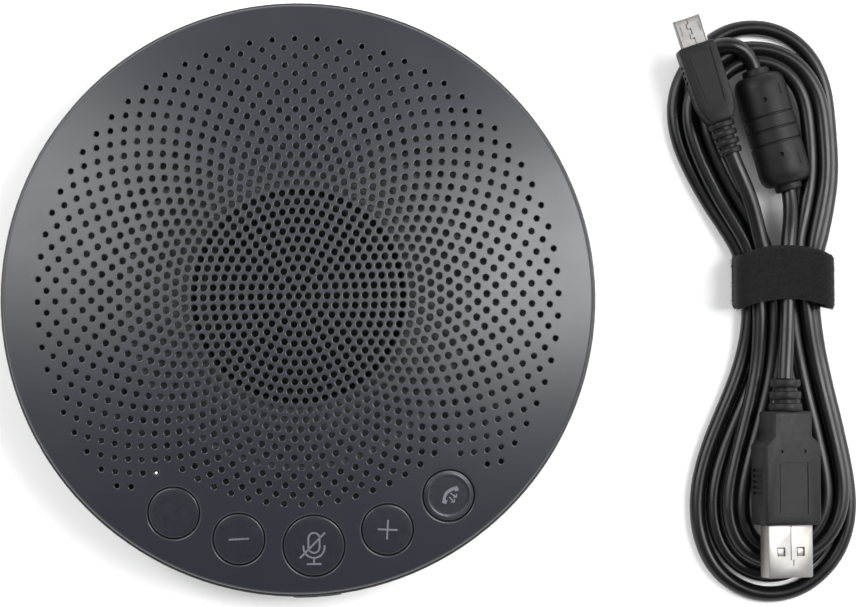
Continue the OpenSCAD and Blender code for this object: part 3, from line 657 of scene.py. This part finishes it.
# The call key's raised ring: distance inside the cap's edge, and rise
CALL_RIDGE = tuple((inset * MM, rise * MM) for inset, rise in (
    (1.35, 0), (1.25, 0.05), (1.12, 0.13), (1.0, 0.15), (0.88, 0.13), (0.75, 0.05), (0.65, 0)))


def add_key(key, materials):
    """A cap that follows the dome, its rounded edge, its flange under the cover and its stem."""
    x, y, radius = key_place(key)
    low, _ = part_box("button_" + key)
    flange_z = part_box("key_switches")[1].z + FLANGE_RISE
    radius += CAP_MORE
    rows = [(radius * share, KEY_SINK, 0.0) for share in CAP_RINGS]
    if key == "call":
        rows += [(radius - inset, KEY_SINK - rise, 0.0) for inset, rise in CALL_RIDGE]
    for i in range(EDGE_STEPS + 1):
        turn = math.pi / 2 * i / EDGE_STEPS
        inset, drop = CAP_EDGE * (1 - math.sin(turn)), CAP_EDGE * (1 - math.cos(turn))
        rows.append((radius - inset, KEY_SINK + drop, 0.0))
    shelf = COVER_T + FLANGE_GAP
    rows += [(radius, shelf, 0.0), (radius + FLANGE_W - CAP_MORE, shelf, 0.0),
             (radius + FLANGE_W - CAP_MORE, None, flange_z),
             (STEM_R, None, flange_z), (STEM_R, None, low.z)]
    points = [(x, y, dome_z(x, y, KEY_SINK))]
    faces = []
    for r, sink, fixed in rows:
        for px, py in circle(x, y, r, CAP_SIDES):
            points.append((px, py, fixed if sink is None else dome_z(px, py, sink)))
    points.append((x, y, low.z))
    for i in range(CAP_SIDES):
        j = (i + 1) % CAP_SIDES
        faces.append((0, 1 + i, 1 + j))
        for row in range(len(rows) - 1):
            a, b = 1 + row * CAP_SIDES, 1 + (row + 1) * CAP_SIDES
            faces.append((a + i, b + i, b + j, a + j))
        last = 1 + (len(rows) - 1) * CAP_SIDES
        faces.append((last + i, len(points) - 1, last + j))
    cap = new_object("key_cap_" + key, mesh_of("cap", points, faces), materials["key"])
    soften(cap, 40)
    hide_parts("button_" + key)
    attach(cap, "key_" + key)


ICON_T = 0.03 * MM
ICON_SINK = 0.02 * MM
LINE_MM = 0.42             # width of the icons' lines
ARROW_MM = 0.3


def stroke(points_mm, width_mm, closed=False):
    """A line of that width as a chain of four-sided pieces. A straight one is cut up to follow the dome."""
    half = width_mm / 2
    line = [Vector(p) for p in points_mm]
    if len(line) == 2:
        line = evenly(line, 0.5)
    left, right = [], []
    count = len(line)
    for i, p in enumerate(line):
        before = line[(i - 1) % count] if closed or i else p
        after = line[(i + 1) % count] if closed or i < count - 1 else p
        along = (after - before).normalized()
        side = Vector((-along.y, along.x)) * half
        left.append(p + side)
        right.append(p - side)
    quads = []
    for i in range(count if closed else count - 1):
        j = (i + 1) % count
        quads.append([left[i], right[i], right[j], left[j]])
    return quads


def arc_mm(cx, cy, r, start, end, steps):
    return [(cx + r * math.cos(math.radians(start + (end - start) * i / steps)),
             cy + r * math.sin(math.radians(start + (end - start) * i / steps))) for i in range(steps + 1)]


def icon_strips(key):
    """The printed sign of a key, in millimetres about the key's middle, up towards the dome's top."""
    if key == "call":
        return handset_strips()
    if key == "minus":
        return [stroke([(-2.35, 0), (2.35, 0)], LINE_MM)]
    if key == "plus":
        upright = [[(0, -2.3), (0, -0.21)], [(0, 0.21), (0, 2.3)]]
        return [stroke(line, LINE_MM) for line in ([(-2.3, 0), (2.3, 0)], *upright)]
    capsule = arc_mm(0, 1.75, 1.3, 0, 180, 14) + arc_mm(0, -0.35, 1.3, 180, 360, 14)
    cradle = [(-2.45, 0.1), *arc_mm(0, -0.4, 2.45, 180, 360, 20), (2.45, 0.1)]
    post, foot, slash = [(0, -2.9), (0, -4.1)], [(-1.7, -4.3), (1.7, -4.3)], [(-3.3, -2.9), (2.6, 3.1)]
    return [stroke(capsule, LINE_MM, True), *(stroke(line, LINE_MM) for line in (cradle, post, foot, slash))]


def handset_strips():
    """A tilted handset: one thick bent line with two wider ends, and two small arrows beside it."""
    bend = [Vector(p) for p in ((1.75, 1.75), (0.75, 1.45), (-0.35, 0.75), (-0.95, -0.3), (-1.1, -1.45))]
    arrows = ([(0.35, 0.55), (1.75, -0.35)], [(1.9, 0.35), (1.8, -0.4), (1.05, -0.5)],
              [(0.1, -0.35), (1.25, -1.55)], [(1.4, -0.85), (1.3, -1.6), (0.6, -1.55)])
    return [stroke(catmull(bend, 5), 0.72), stroke([(1.5, 2.05), (1.95, 1.05)], 0.95),
            stroke([(-1.45, -1.2), (-0.45, -1.65)], 0.95), *(stroke(line, ARROW_MM) for line in arrows)]


ICON_TURN = {"minus": 3.0, "plus": -3.0, "mute": 0.0, "call": 0.0}  # degrees


def add_icon(key, materials):
    """Raised print: each strip is a thin closed slab that lies on the cap."""
    x, y, _ = key_place(key)
    turn = Matrix.Rotation(-PICTURE_TURN + math.radians(ICON_TURN[key]), 2)
    points, faces = [], []
    for strip in icon_strips(key):
        for quad in strip:
            first = len(points)
            for corner in quad:
                flat = turn @ (corner * MM)
                px, py = x + flat.x, y + flat.y
                points.append((px, py, dome_z(px, py, KEY_SINK) - ICON_SINK))
                points.append((px, py, dome_z(px, py, KEY_SINK) + ICON_T))
            a = [first + 2 * i for i in range(4)]
            faces.append((a[0] + 1, a[1] + 1, a[2] + 1, a[3] + 1))
            faces.append((a[3], a[2], a[1], a[0]))
            faces += [(a[i], a[(i + 1) % 4], a[(i + 1) % 4] + 1, a[i] + 1) for i in range(4)]
    icon = new_object("icon_" + key, mesh_of("icon", points, faces, False), materials["icon"])
    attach(icon, "key_" + key)


# ---- Cable ----

CABLE_D = 3.8 * MM
CABLE_ORIGIN = Vector((117.1 * MM, -1.7 * MM, 0))
CABLE_TURN = math.radians(-3.3)
STRAP_HALF_MM = 7.75                      # from the strap's middle to where the cords leave it
STRAP_FALL_MM = 14                        # over which they then come down to the table
LAYER_MM = {1: 1.9, 2: 5.3}               # heights of the two layers of turns on the table
STRAP_LAYER_MM = {1: 3.1, 2: 6.25}        # and inside the strap
# The middle of the outermost turn above the strap, from left to right, and below it, from right to left
UPPER_TURN_MM = (
    (-9.4, 6), (-12.7, 11.5), (-16.3, 17.1), (-19.6, 22.8), (-22.4, 28.4), (-24.6, 34), (-25.6, 39.6),
    (-25.2, 45.3), (-22.8, 51.2), (-18, 57), (-12.6, 60.8), (-7.2, 61.9), (-1.5, 61.4), (3.6, 59),
    (7.9, 54.8), (10.6, 49.5), (11.8, 44.5), (12.2, 39.6), (12.6, 34), (12.9, 28.3), (12.6, 22.7),
    (11.6, 17.1), (10.3, 11.5), (8.9, 6))
LOWER_TURN_MM = (
    (7.6, -6), (8.1, -10.9), (9, -16.6), (10.2, -22.2), (11.4, -27.8), (12.8, -33.4), (14, -39),
    (15.2, -44.6), (16.1, -50.2), (16.4, -55.8), (15.6, -61.3), (13.4, -66.8), (10.2, -70.8), (6.4, -74),
    (2.6, -75.9), (-1.6, -76.7), (-6, -76.6), (-10, -75.2), (-14, -72.8), (-17.4, -69), (-19.7, -63.6), (-20.8, -57.6),
    (-20.5, -50.8), (-19.1, -44.6), (-17.2, -39), (-14.8, -33.4), (-12.4, -27.8), (-10.2, -22.2),
    (-8.7, -16.6), (-7.8, -10.9), (-7.6, -6))
MICRO_END_MM, USB_A_END_MM = (-13.1, 29.8, 11.6), (-0.7, -24.5, 11.8)
FERRITE_END_MM = (1.8, 21.4, 6.4)
MICRO_ROUTE_MM = (MICRO_END_MM, (-11, 24.6, 11.5), (-8.8, 20, 11), (-7.4, 15, 10.2), (-6.2, 11, 9.6),
                  (-5.6, 7.75, 9.4))
CROSSING_MM = ((-4.2, 3.6, 8.8), (-1.2, -1, 7.7), (1.2, -4.6, 6.7))
# The last strand: up the left, over the other turns, into the ferrite, down to the strap and to the plug
LAST_RISE_MM = ((-5.4, 6, 3.1), (-11.8, 20, 1.9), (-19.4, 32, 1.9), (-21.6, 41, 2.2), (-21.4, 48.5, 4.2),
                (-18.8, 54.5, 6.4), (-13.9, 57.2, 8.6), (-9.2, 55.8, 8.2), (-6.9, 52.4, 6.6))
FERRITE_LINE_MM = ((-6.4, 51, 6.4), (-4.35, 43.6, 6.4), (-2.3, 36.2, 6.4), (-0.25, 28.8, 6.4), FERRITE_END_MM)
LAST_FALL_MM = ((2, 17, 7.2), (1.4, 12, 8.6), (0.8, 7.75, 9.4), (0.7, 0, 9.4), (0.6, -7.75, 9.4),
                (0.3, -12, 9.9), (-0.2, -18, 11), USB_A_END_MM)
LAST_STRAND_MM = (*LAST_RISE_MM, *FERRITE_LINE_MM, *LAST_FALL_MM)
# Each turn's layer, and its distance inside the outermost one, in millimetres: at the strap, on the way out,
# at the far end, on the way back and at the strap again
LOWER_TURNS = ((2, (5.8, 5.8, 11.2, 10.4, 5.8)), (2, (2, 1.9, 8.6, 7.2, 2)), (1, (0, 0, 0, 0, 0)),
               (1, (4, 4, 4.7, 3.9, 4)))
UPPER_TURNS = ((2, (5.8, 6.9, 8.6, 5.6, 5.8)), (2, (2, 3.1, 5.7, 1.9, 2)), (1, (0, 0, 0, 0, 0)))


def on_table(point_mm):
    """A point of the cable's own frame, in the row frame and in metres."""
    turn = Matrix.Rotation(CABLE_TURN, 3, "Z")
    return CABLE_ORIGIN + turn @ (Vector(point_mm) * MM)


def catmull(line, steps):
    """A smooth line through the points."""
    last = len(line) - 1
    made = []
    for i in range(last):
        a, b, c, d = line[max(i - 1, 0)], line[i], line[i + 1], line[min(i + 2, last)]
        for j in range(steps):
            t = j / steps
            made.append(0.5 * (2 * b + (c - a) * t + (2 * a - 5 * b + 4 * c - d) * t ** 2
                               + (3 * b - a - 3 * c + d) * t ** 3))
    return made + [line[-1]]


def smoothstep(low, high, value):
    t = min(1.0, max(0.0, (value - low) / (high - low)))
    return t * t * (3 - 2 * t)


def blended(values, share):
    """A smooth value between equally spaced ones."""
    at = min(share * (len(values) - 1), len(values) - 1.000001)
    i = int(at)
    return values[i] + (values[i + 1] - values[i]) * smoothstep(0, 1, at - i)


def turn_line(turn_mm, layer, insets):
    """One turn: the outermost one moved inwards, on its layer, and lifted where it enters the strap."""
    outline = catmull([Vector(p) for p in turn_mm], 4)
    made = []
    for i, p in enumerate(outline):
        along = (outline[min(i + 1, len(outline) - 1)] - outline[max(i - 1, 0)]).normalized()
        by = blended(insets, i / (len(outline) - 1))
        lift = 1 - smoothstep(STRAP_HALF_MM, STRAP_HALF_MM + STRAP_FALL_MM, abs(p.y))
        height = LAYER_MM[layer] + lift * (STRAP_LAYER_MM[layer] - LAYER_MM[layer])
        made.append(Vector((p.x + by * along.y, p.y - by * along.x, height)))
    return made


def cable_line():
    """The whole lead's middle line, in millimetres, in the cable's own frame."""
    line = catmull([Vector(p) for p in (*MICRO_ROUTE_MM, *CROSSING_MM)], 3)
    for i, (layer, insets) in enumerate(LOWER_TURNS):
        line += turn_line(LOWER_TURN_MM, layer, insets)
        if i < len(UPPER_TURNS):
            line += turn_line(UPPER_TURN_MM, *UPPER_TURNS[i])
    line += catmull([Vector(p) for p in LAST_STRAND_MM], 4)
    return relaxed(evenly(relaxed(evenly(line, 1.8), 4), 1.2), 2)


def evenly(line, step):
    """The same line with points at equal distances."""
    lengths = [0.0]
    for a, b in zip(line, line[1:]):
        lengths.append(lengths[-1] + (b - a).length)
    count = round(lengths[-1] / step)
    made, i = [], 0
    for k in range(count + 1):
        at = lengths[-1] * k / count
        while i < len(line) - 2 and lengths[i + 1] < at:
            i += 1
        span = max(lengths[i + 1] - lengths[i], 1e-9)
        made.append(line[i].lerp(line[i + 1], min(1.0, (at - lengths[i]) / span)))
    return made


def relaxed(line, passes):
    """Takes out kinks, as the cable's stiffness does. The ends stay where they are."""
    for _ in range(passes):
        inner = [a.lerp(b, 0.5).lerp(p, 0.5) for a, p, b in zip(line, line[1:], line[2:])]
        line = [line[0], *inner, line[-1]]
    return line


def add_cable(materials, with_pieces):
    line = [on_table(p) for p in cable_line()]
    data = bpy.data.curves.new("usb_cable", "CURVE")
    data.dimensions = "3D"
    data.bevel_depth = CABLE_D / 2
    data.bevel_resolution = 5
    data.use_fill_caps = True
    spline = data.splines.new("POLY")
    spline.points.add(len(line) - 1)
    for point, place in zip(spline.points, line):
        point.co = (*place, 1.0)
    data.materials.append(materials["cable"])
    cable = bpy.data.objects.new("usb_cable", data)
    bpy.context.scene.collection.objects.link(cable)
    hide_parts("cable_hank", "cable_micro_lead", "cable_ferrite_lead", "cable_usb_lead")
    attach(cable, "usb_cable")
    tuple(line[0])


# The plugs' frames: where the cord meets the relief, and how the plug is turned. +Y runs to the plug's tip.
MICRO_PLACE = Matrix.Translation(MICRO_END_MM) @ Matrix.Rotation(math.radians(18.4), 4, "Z")
USB_A_PLACE = (Matrix.Translation(USB_A_END_MM) @ Matrix.Rotation(math.radians(18), 4, "Y")
               @ Matrix.Rotation(math.pi, 4, "Z"))
FERRITE_PLACE = Matrix.Translation(FERRITE_END_MM) @ Matrix.Rotation(math.radians(15.5), 4, "Z")
CABLE_PLACE = (Matrix.Translation(CABLE_ORIGIN) @ Matrix.Rotation(CABLE_TURN, 4, "Z")
               @ Matrix.Diagonal((MM, MM, MM, 1)))


def prism(outline_mm, bottom, top, edge, steps=3):
    """An upright prism in millimetres with all its edges rounded."""
    work = bmesh.new()
    face = work.faces.new([work.verts.new((x, y, bottom)) for x, y in outline_mm])
    made = bmesh.ops.extrude_face_region(work, geom=[face])
    upper = [v for v in made["geom"] if isinstance(v, bmesh.types.BMVert)]
    bmesh.ops.translate(work, vec=(0, 0, top - bottom), verts=upper)
    bmesh.ops.recalc_face_normals(work, faces=work.faces)
    if edge:
        bmesh.ops.bevel(work, geom=work.edges[:], offset=edge, segments=steps, profile=0.5, affect="EDGES")
    return from_bmesh("prism", work)


def box_mm(low, high, edge=0.0):
    (x0, y0, z0), (x1, y1, z1) = low, high
    return prism(((x0, y0), (x1, y0), (x1, y1), (x0, y1)), z0, z1, edge, 2)


def turned(profile_mm, sides=40):
    """A body turned about +Y from (radius, y) pairs in millimetres, closed at both ends."""
    points, faces = [], []
    for r, y in profile_mm:
        points += [(r * math.cos(2 * math.pi * i / sides), y, -r * math.sin(2 * math.pi * i / sides))
                   for i in range(sides)]
    for row in range(len(profile_mm) - 1):
        for i in range(sides):
            j = (i + 1) % sides
            a, b = row * sides, (row + 1) * sides
            faces.append((a + i, a + j, b + j, b + i))
    faces.append(tuple(range(sides - 1, -1, -1)))
    last = (len(profile_mm) - 1) * sides
    faces.append(tuple(last + i for i in range(sides)))
    return mesh_of("turned", points, faces)


def joined(meshes):
    work = bmesh.new()
    for mesh in meshes:
        work.from_mesh(mesh)
    return from_bmesh("joined", work)


def carved(body, cutters):
    """The body less its cutters, in plain mesh data."""
    scene = bpy.context.scene.collection
    block = bpy.data.objects.new("block", body)
    tool = bpy.data.objects.new("tool", joined(cutters))
    scene.objects.link(block)
    scene.objects.link(tool)
    cut = block.modifiers.new("cut", "BOOLEAN")
    cut.operation, cut.solver, cut.object, cut.use_self = "DIFFERENCE", "EXACT", tool, True
    made = bpy.data.meshes.new_from_object(block.evaluated_get(bpy.context.evaluated_depsgraph_get()))
    bpy.data.objects.remove(block)
    bpy.data.objects.remove(tool)
    return made


def add_cable_piece(name, mesh, place, material, slot, *nodes):
    mesh.transform(CABLE_PLACE @ place)
    piece = new_object(name, mesh, material)
    soften(piece, 32)
    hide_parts(*nodes)
    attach(piece, "usb_cable")
    return piece


def relief_mesh(length, r0, r1, ribs):
    """A tapered boot of ribs: round collars on a thinner core."""
    rows, pitch = [(r0 * 0.62, 0.0)], length / ribs
    for i in range(ribs):
        r = r0 + (r1 - r0) * (i + 0.5) / ribs
        start, end = pitch * i, pitch * (i + 0.66)
        rows += [(r - 0.35, start), (r - 0.1, start + 0.1), (r, start + 0.35), (r, end - 0.35),
                 (r - 0.1, end - 0.1), (r - 0.35, end), (r * 0.72, end + 0.02),
                 (r * 0.72, pitch * (i + 1) - 0.02)]
    return turned(rows, 36)


PANEL_DEPTH, PANEL_LINE = 0.22, 0.35


def panel_cutters(half, y0, y1, top, taper=0.0):
    """A shallow recess with a slightly deeper groove round its edge."""
    line = PANEL_LINE
    wide = ((-half, y1), (-half + taper, y0), (half - taper, y0), (half, y1))
    inner = ((-half + line, y1 - line), (-half + taper + line, y0 + line), (half - taper - line, y0 + line),
             (half - line, y1 - line))
    floor = prism(inner, top - PANEL_DEPTH * 0.45, top + 1, 0)
    groove = carved(prism(wide, top - PANEL_DEPTH, top + 1, 0), [prism(inner, top - 2, top + 2, 0)])
    return [floor, groove]


def add_micro_plug(materials):
    """The micro plug's body, its relief, and its shell with a folded seam, two latches and a tongue."""
    plug, steel = materials["plug"], materials["steel"]
    relief, length, half, top = 8.0, 19.6, 4.6, 3.3
    base = relief + length
    outline = ((-2.9, relief), (2.9, relief), (3.9, relief + 2.2), (half, relief + 5), (half, base),
               (-half, base), (-half, relief + 5), (-3.9, relief + 2.2))
    cutters = panel_cutters(3.0, relief + 4.5, base - 1.6, top, 0.7)
    for side in (-1, 1):
        x = side * half
        cutters += [box_mm((x - 0.3, y, -1.6), (x + 0.3, y + 0.7, 1.6))
                    for y in (relief + 11 + 1.3 * i for i in range(4))]
    body = carved(prism(outline, -top, top, 0.75), cutters)
    yield add_cable_piece("micro_plug_body", body, MICRO_PLACE, plug, "plug_black", "micro_usb_body")
    boot = relief_mesh(relief + 0.8, 2.7, 3.3, 4)
    yield add_cable_piece("micro_plug_relief", boot, MICRO_PLACE, plug, "plug_black", "micro_usb_relief")
    out, wide, high = 6.9, 6.85 / 2, 0.9
    section = ((-wide + 0.8, high), (wide - 0.8, high), (wide, 0), (wide, -high), (-wide, -high), (-wide, 0))
    shell = prism(section, base - 0.5, base + out, 0.12, 2)
    shell.transform(Matrix.Rotation(math.radians(-90), 4, "X"))
    mouth = box_mm((-wide + 0.75, base + 1.5, -high + 0.3), (wide - 0.75, base + out + 1, high - 0.3))
    low, line = high - 0.3, 0.11
    steps = [(0.5, 0.0, 1.7), (-0.4, 1.7, 2.8), (0.3, 2.8, 4.1), (-0.5, 4.1, 5.4), (0.1, 5.4, 7.2)]
    seam = [box_mm((x - line, base + y0, low), (x + line, base + y1, 2 * high)) for x, y0, y1 in steps]
    seam += [box_mm((min(a[0], b[0]) - line, base + b[1] - line, low),
                    (max(a[0], b[0]) + line, base + b[1] + line, 2 * high)) for a, b in zip(steps, steps[1:])]
    seam += [box_mm((x - 0.13, base, low), (x + 0.13, base + out, 2 * high))
             for x in (-(wide - 0.42), wide - 0.42)]
    latches = [box_mm((x - 0.35, base + 2.9, high - 0.25), (x + 0.35, base + 5.2, 2 * high))
               for x in (-2.3, 2.3)]
    shell = carved(carved(shell, [mouth]), seam + latches)
    tongue = box_mm((-wide + 1.2, base + 1.2, -0.3), (wide - 1.2, base + out - 0.8, 0.15), 0.08)
    yield add_cable_piece("micro_plug_shell", joined([shell, tongue]), MICRO_PLACE, steel, "plug_steel",
                          "micro_usb_shell")


def add_usb_a_plug(materials):
    """The USB-A plug's body, its relief, its shell with four windows and a seam, and its insert."""
    plug, steel = materials["plug"], materials["steel"]
    relief, neck, length, half, top = 7.6, 6.0, 21.2, 7.5, 4.0
    shoulder = relief + neck
    base = shoulder + length
    outline = ((-5.2, relief), (5.2, relief), (5.2, shoulder), (half, shoulder + 2), (half, base),
               (-half, base), (-half, shoulder + 2), (-5.2, shoulder))
    cutters = panel_cutters(3.9, shoulder + 6.2, base - 2.6, top)
    cutters += [round_cutter(x, shoulder + 3.6, top, 0.42, 0.5) for x in (-3.1, 3.1)]
    cutters += [box_mm((side * half - 0.45, base - 13.4 + 1.35 * i, -2.4),
                       (side * half + 0.4, base - 12.7 + 1.35 * i, 2.4))
                for side in (-1, 1) for i in range(5)]
    body = carved(prism(outline, -top, top, 0.7), cutters)
    yield add_cable_piece("usb_plug_body", body, USB_A_PLACE, plug, "plug_black", "usb_a_body")
    boot = relief_mesh(relief + 1.0, 3.6, 4.1, 3)
    yield add_cable_piece("usb_plug_relief", boot, USB_A_PLACE, plug, "plug_black", "usb_a_relief")
    out, wide, high, wall = 12.6, 6.0, 2.25, 0.35
    low, above, window_x = high - 0.3, high + 1, (-2.6, 2.6)
    shell = box_mm((-wide, base - 0.5, -high), (wide, base + out, high), 0.45)
    mouth = box_mm((-wide + wall, base + 0.6, -high + wall), (wide - wall, base + out + 1, high - wall))
    windows = [box_mm((x - 1.05, base + out - 7.3, z - 1), (x + 1.05, base + out - 5.2, z + 1))
               for x in window_x for z in (-high, high)]
    seam = [box_mm((-0.1, base - 0.2, low), (0.1, base + 8.5, above)),
            box_mm((-0.8, base + 8.3, low), (0.1, base + 8.5, above)),
            box_mm((-0.8, base + 8.3, low), (-0.6, base + 9.8, above))]
    shell = carved(carved(shell, [mouth]), windows + seam)
    springs = [box_mm((x - 0.78, base + out - 7.03, z - 0.1), (x + 0.78, base + out - 5.2, z + 0.1), 0.06)
               for x in window_x for z in (-high + 0.3, high - 0.3)]
    yield add_cable_piece("usb_plug_shell", joined([shell, *springs]), USB_A_PLACE, steel, "plug_steel",
                          "usb_a_shell")
    room = wall + 0.1
    insert = box_mm((-wide + room, base + 0.3, -high + room), (wide - room, base + out - 0.6, -0.1), 0.1)
    contacts = [box_mm((x - 0.55, base + out - 8.4, -0.15), (x + 0.55, base + out - 1.3, 0.0))
                for x in (-3.5, -1, 1, 3.5)]
    yield add_cable_piece("usb_plug_insert", joined([insert, *contacts]), USB_A_PLACE, materials["insert"],
                          "white_plastic", "usb_a_insert")


def round_cutter(x, y, top, radius, depth):
    """A round upright cutter, for a moulding mark."""
    return prism([(x + px, y + py) for px, py in circle(0, 0, radius, 20)], top - depth, top + 1, 0)


def add_ferrite(materials):
    """The bead: a moulded sleeve with three grooves, end collars, two moulding marks and two ribs."""
    r, length = 6.3, 30.6
    end = ((1.9, 0.0), (3.0, 0.0), (3.3, 0.3), (3.4, 1.5), (4.6, 1.7), (5.5, 2.3), (6.05, 3.3), (r, 4.8))
    groove = ((r, -0.32), (r - 0.12, -0.2), (r - 0.4, -0.12), (r - 0.4, 0.12), (r - 0.12, 0.2), (r, 0.32))
    rows = list(end)
    for i in (-1, 0, 1):
        rows += [(radius, length / 2 + 3.4 * i + y) for radius, y in groove]
    rows += [(radius, length - y) for radius, y in reversed(end)]
    marks = [round_cutter(x, y, r, 0.55, 0.9)
             for x, y in ((-0.9, length / 2 + 7.2), (-0.6, length / 2 - 6.6))]
    ribs = [box_mm((-0.35, y, 5.2), (0.35, y + 2.6, r + 0.18), 0.12) for y in (5.3, length - 7.6)]
    for rib in ribs:
        rib.transform(Matrix.Rotation(math.radians(38), 4, "Y"))
    sleeve = carved(turned(rows, 64), marks)
    yield add_cable_piece("ferrite_sleeve", joined([sleeve, *ribs]), FERRITE_PLACE, materials["plug"],
                          "plug_black", "ferrite_bead")


# The strap's half width along the cords and across them, its height and corners, and its bow
STRAP_HALF_W, STRAP_HALF_X, STRAP_HIGH, STRAP_CORNER, STRAP_BOW = 6.5, 12.0, 12.4, 3.4, 2.6
STRAP_T = 1.15
STRAP_ROWS = 26
FUZZ_COUNT = 5200


def strap_loop():
    """The band's section round the cords, as (x, z) in millimetres: a rounded box."""
    x, low, high = STRAP_HALF_X - STRAP_CORNER, STRAP_CORNER, STRAP_HIGH - STRAP_CORNER
    made = []
    for cx, cz, start in ((x, high, 0), (-x, high, 90), (-x, low, 180), (x, low, 270)):
        for i in range(9):
            t = math.radians(start + 90 * i / 8)
            made.append(Vector((cx + STRAP_CORNER * math.cos(t), cz + STRAP_CORNER * math.sin(t))))
    return made


def add_strap(materials):
    """A soft band of looped fabric round the cords, bowed by their pull."""
    rng = random.Random(11)
    loop = strap_loop()
    ring = evenly(loop + [loop[0]], 0.55)[:-1]
    points, faces = [], []
    for outside, sink in ((True, 0.0), (False, -STRAP_T)):
        for i, p in enumerate(ring):
            before, after = ring[i - 1], ring[(i + 1) % len(ring)]
            normal = Vector(((after - before).y, -(after - before).x)).normalized()
            bow = STRAP_BOW * (0.5 - (p.x / STRAP_HALF_X) ** 2) * (0.35 + 0.65 * p.y / STRAP_HIGH)
            for j in range(STRAP_ROWS + 1):
                t = 2 * j / STRAP_ROWS - 1
                thinner = 0.5 * (1 - math.sqrt(max(0.0, 1 - t ** 8)))
                rough = 0.09 * (rng.random() - 0.5) if outside else 0.0
                out = sink - (thinner if outside else -thinner) + rough
                ragged = 0.12 * (rng.random() - 0.5) * (abs(t) > 0.9)
                points.append((p.x + normal.x * out, bow + STRAP_HALF_W * t + ragged,
                               max(0.05, p.y + normal.y * out)))
    row, inner = STRAP_ROWS + 1, len(ring) * (STRAP_ROWS + 1)
    for i in range(len(ring)):
        here, there = i * row, (i + 1) % len(ring) * row
        for j in range(STRAP_ROWS):
            a, b, c, d = here + j, there + j, there + j + 1, here + j + 1
            faces += [(a, b, c, d), (inner + d, inner + c, inner + b, inner + a)]
        a, b = here, there
        faces.append((inner + a, inner + b, b, a))
        a, b = here + STRAP_ROWS, there + STRAP_ROWS
        faces.append((a, b, inner + b, inner + a))
    band = joined([mesh_of("band", points, faces)])
    yield add_cable_piece("cable_strap", joined([band, strap_fuzz(band, rng)]), Matrix.Identity(4),
                          materials["felt"], "hook_loop", "hook_loop_strap")


def strap_fuzz(band, rng):
    """Short loose loops of the fabric's pile, as thin bent blades that stand up from the band."""
    points, faces = [], []
    polygons = [q for q in band.polygons if q.center.z > 0.8]
    for _ in range(FUZZ_COUNT):
        q = polygons[rng.randrange(len(polygons))]
        start = q.center + Vector((rng.uniform(-0.25, 0.25), rng.uniform(-0.25, 0.25), 0))
        lean = Vector((rng.uniform(-1, 1), rng.uniform(-1, 1), rng.uniform(-0.2, 0.6))) * 0.5
        tip = start + (q.normal + lean).normalized() * rng.uniform(0.22, 0.5)
        side = q.normal.cross(lean).normalized() * 0.035
        middle = (start + tip) / 2 + lean * 0.05
        first = len(points)
        points += [start - side, start + side, middle + side * 0.9, tip, middle - side * 0.9]
        faces.append(tuple(range(first, first + 5)))
    return mesh_of("fuzz", points, faces)


# ---- Put together ----

def main():
    materials = make_materials()
    add_camera()
    add_lights()
    add_floor(white_floor())
    finish_nodes(materials)
    add_cover(materials)
    add_status_lens(materials)
    for key in KEYS:
        add_key(key, materials)
        if key != "aux":
            add_icon(key, materials)
    add_cable(materials, [*add_micro_plug(materials), *add_usb_a_plug(materials), *add_ferrite(materials),
                          *add_strap(materials)])


main()
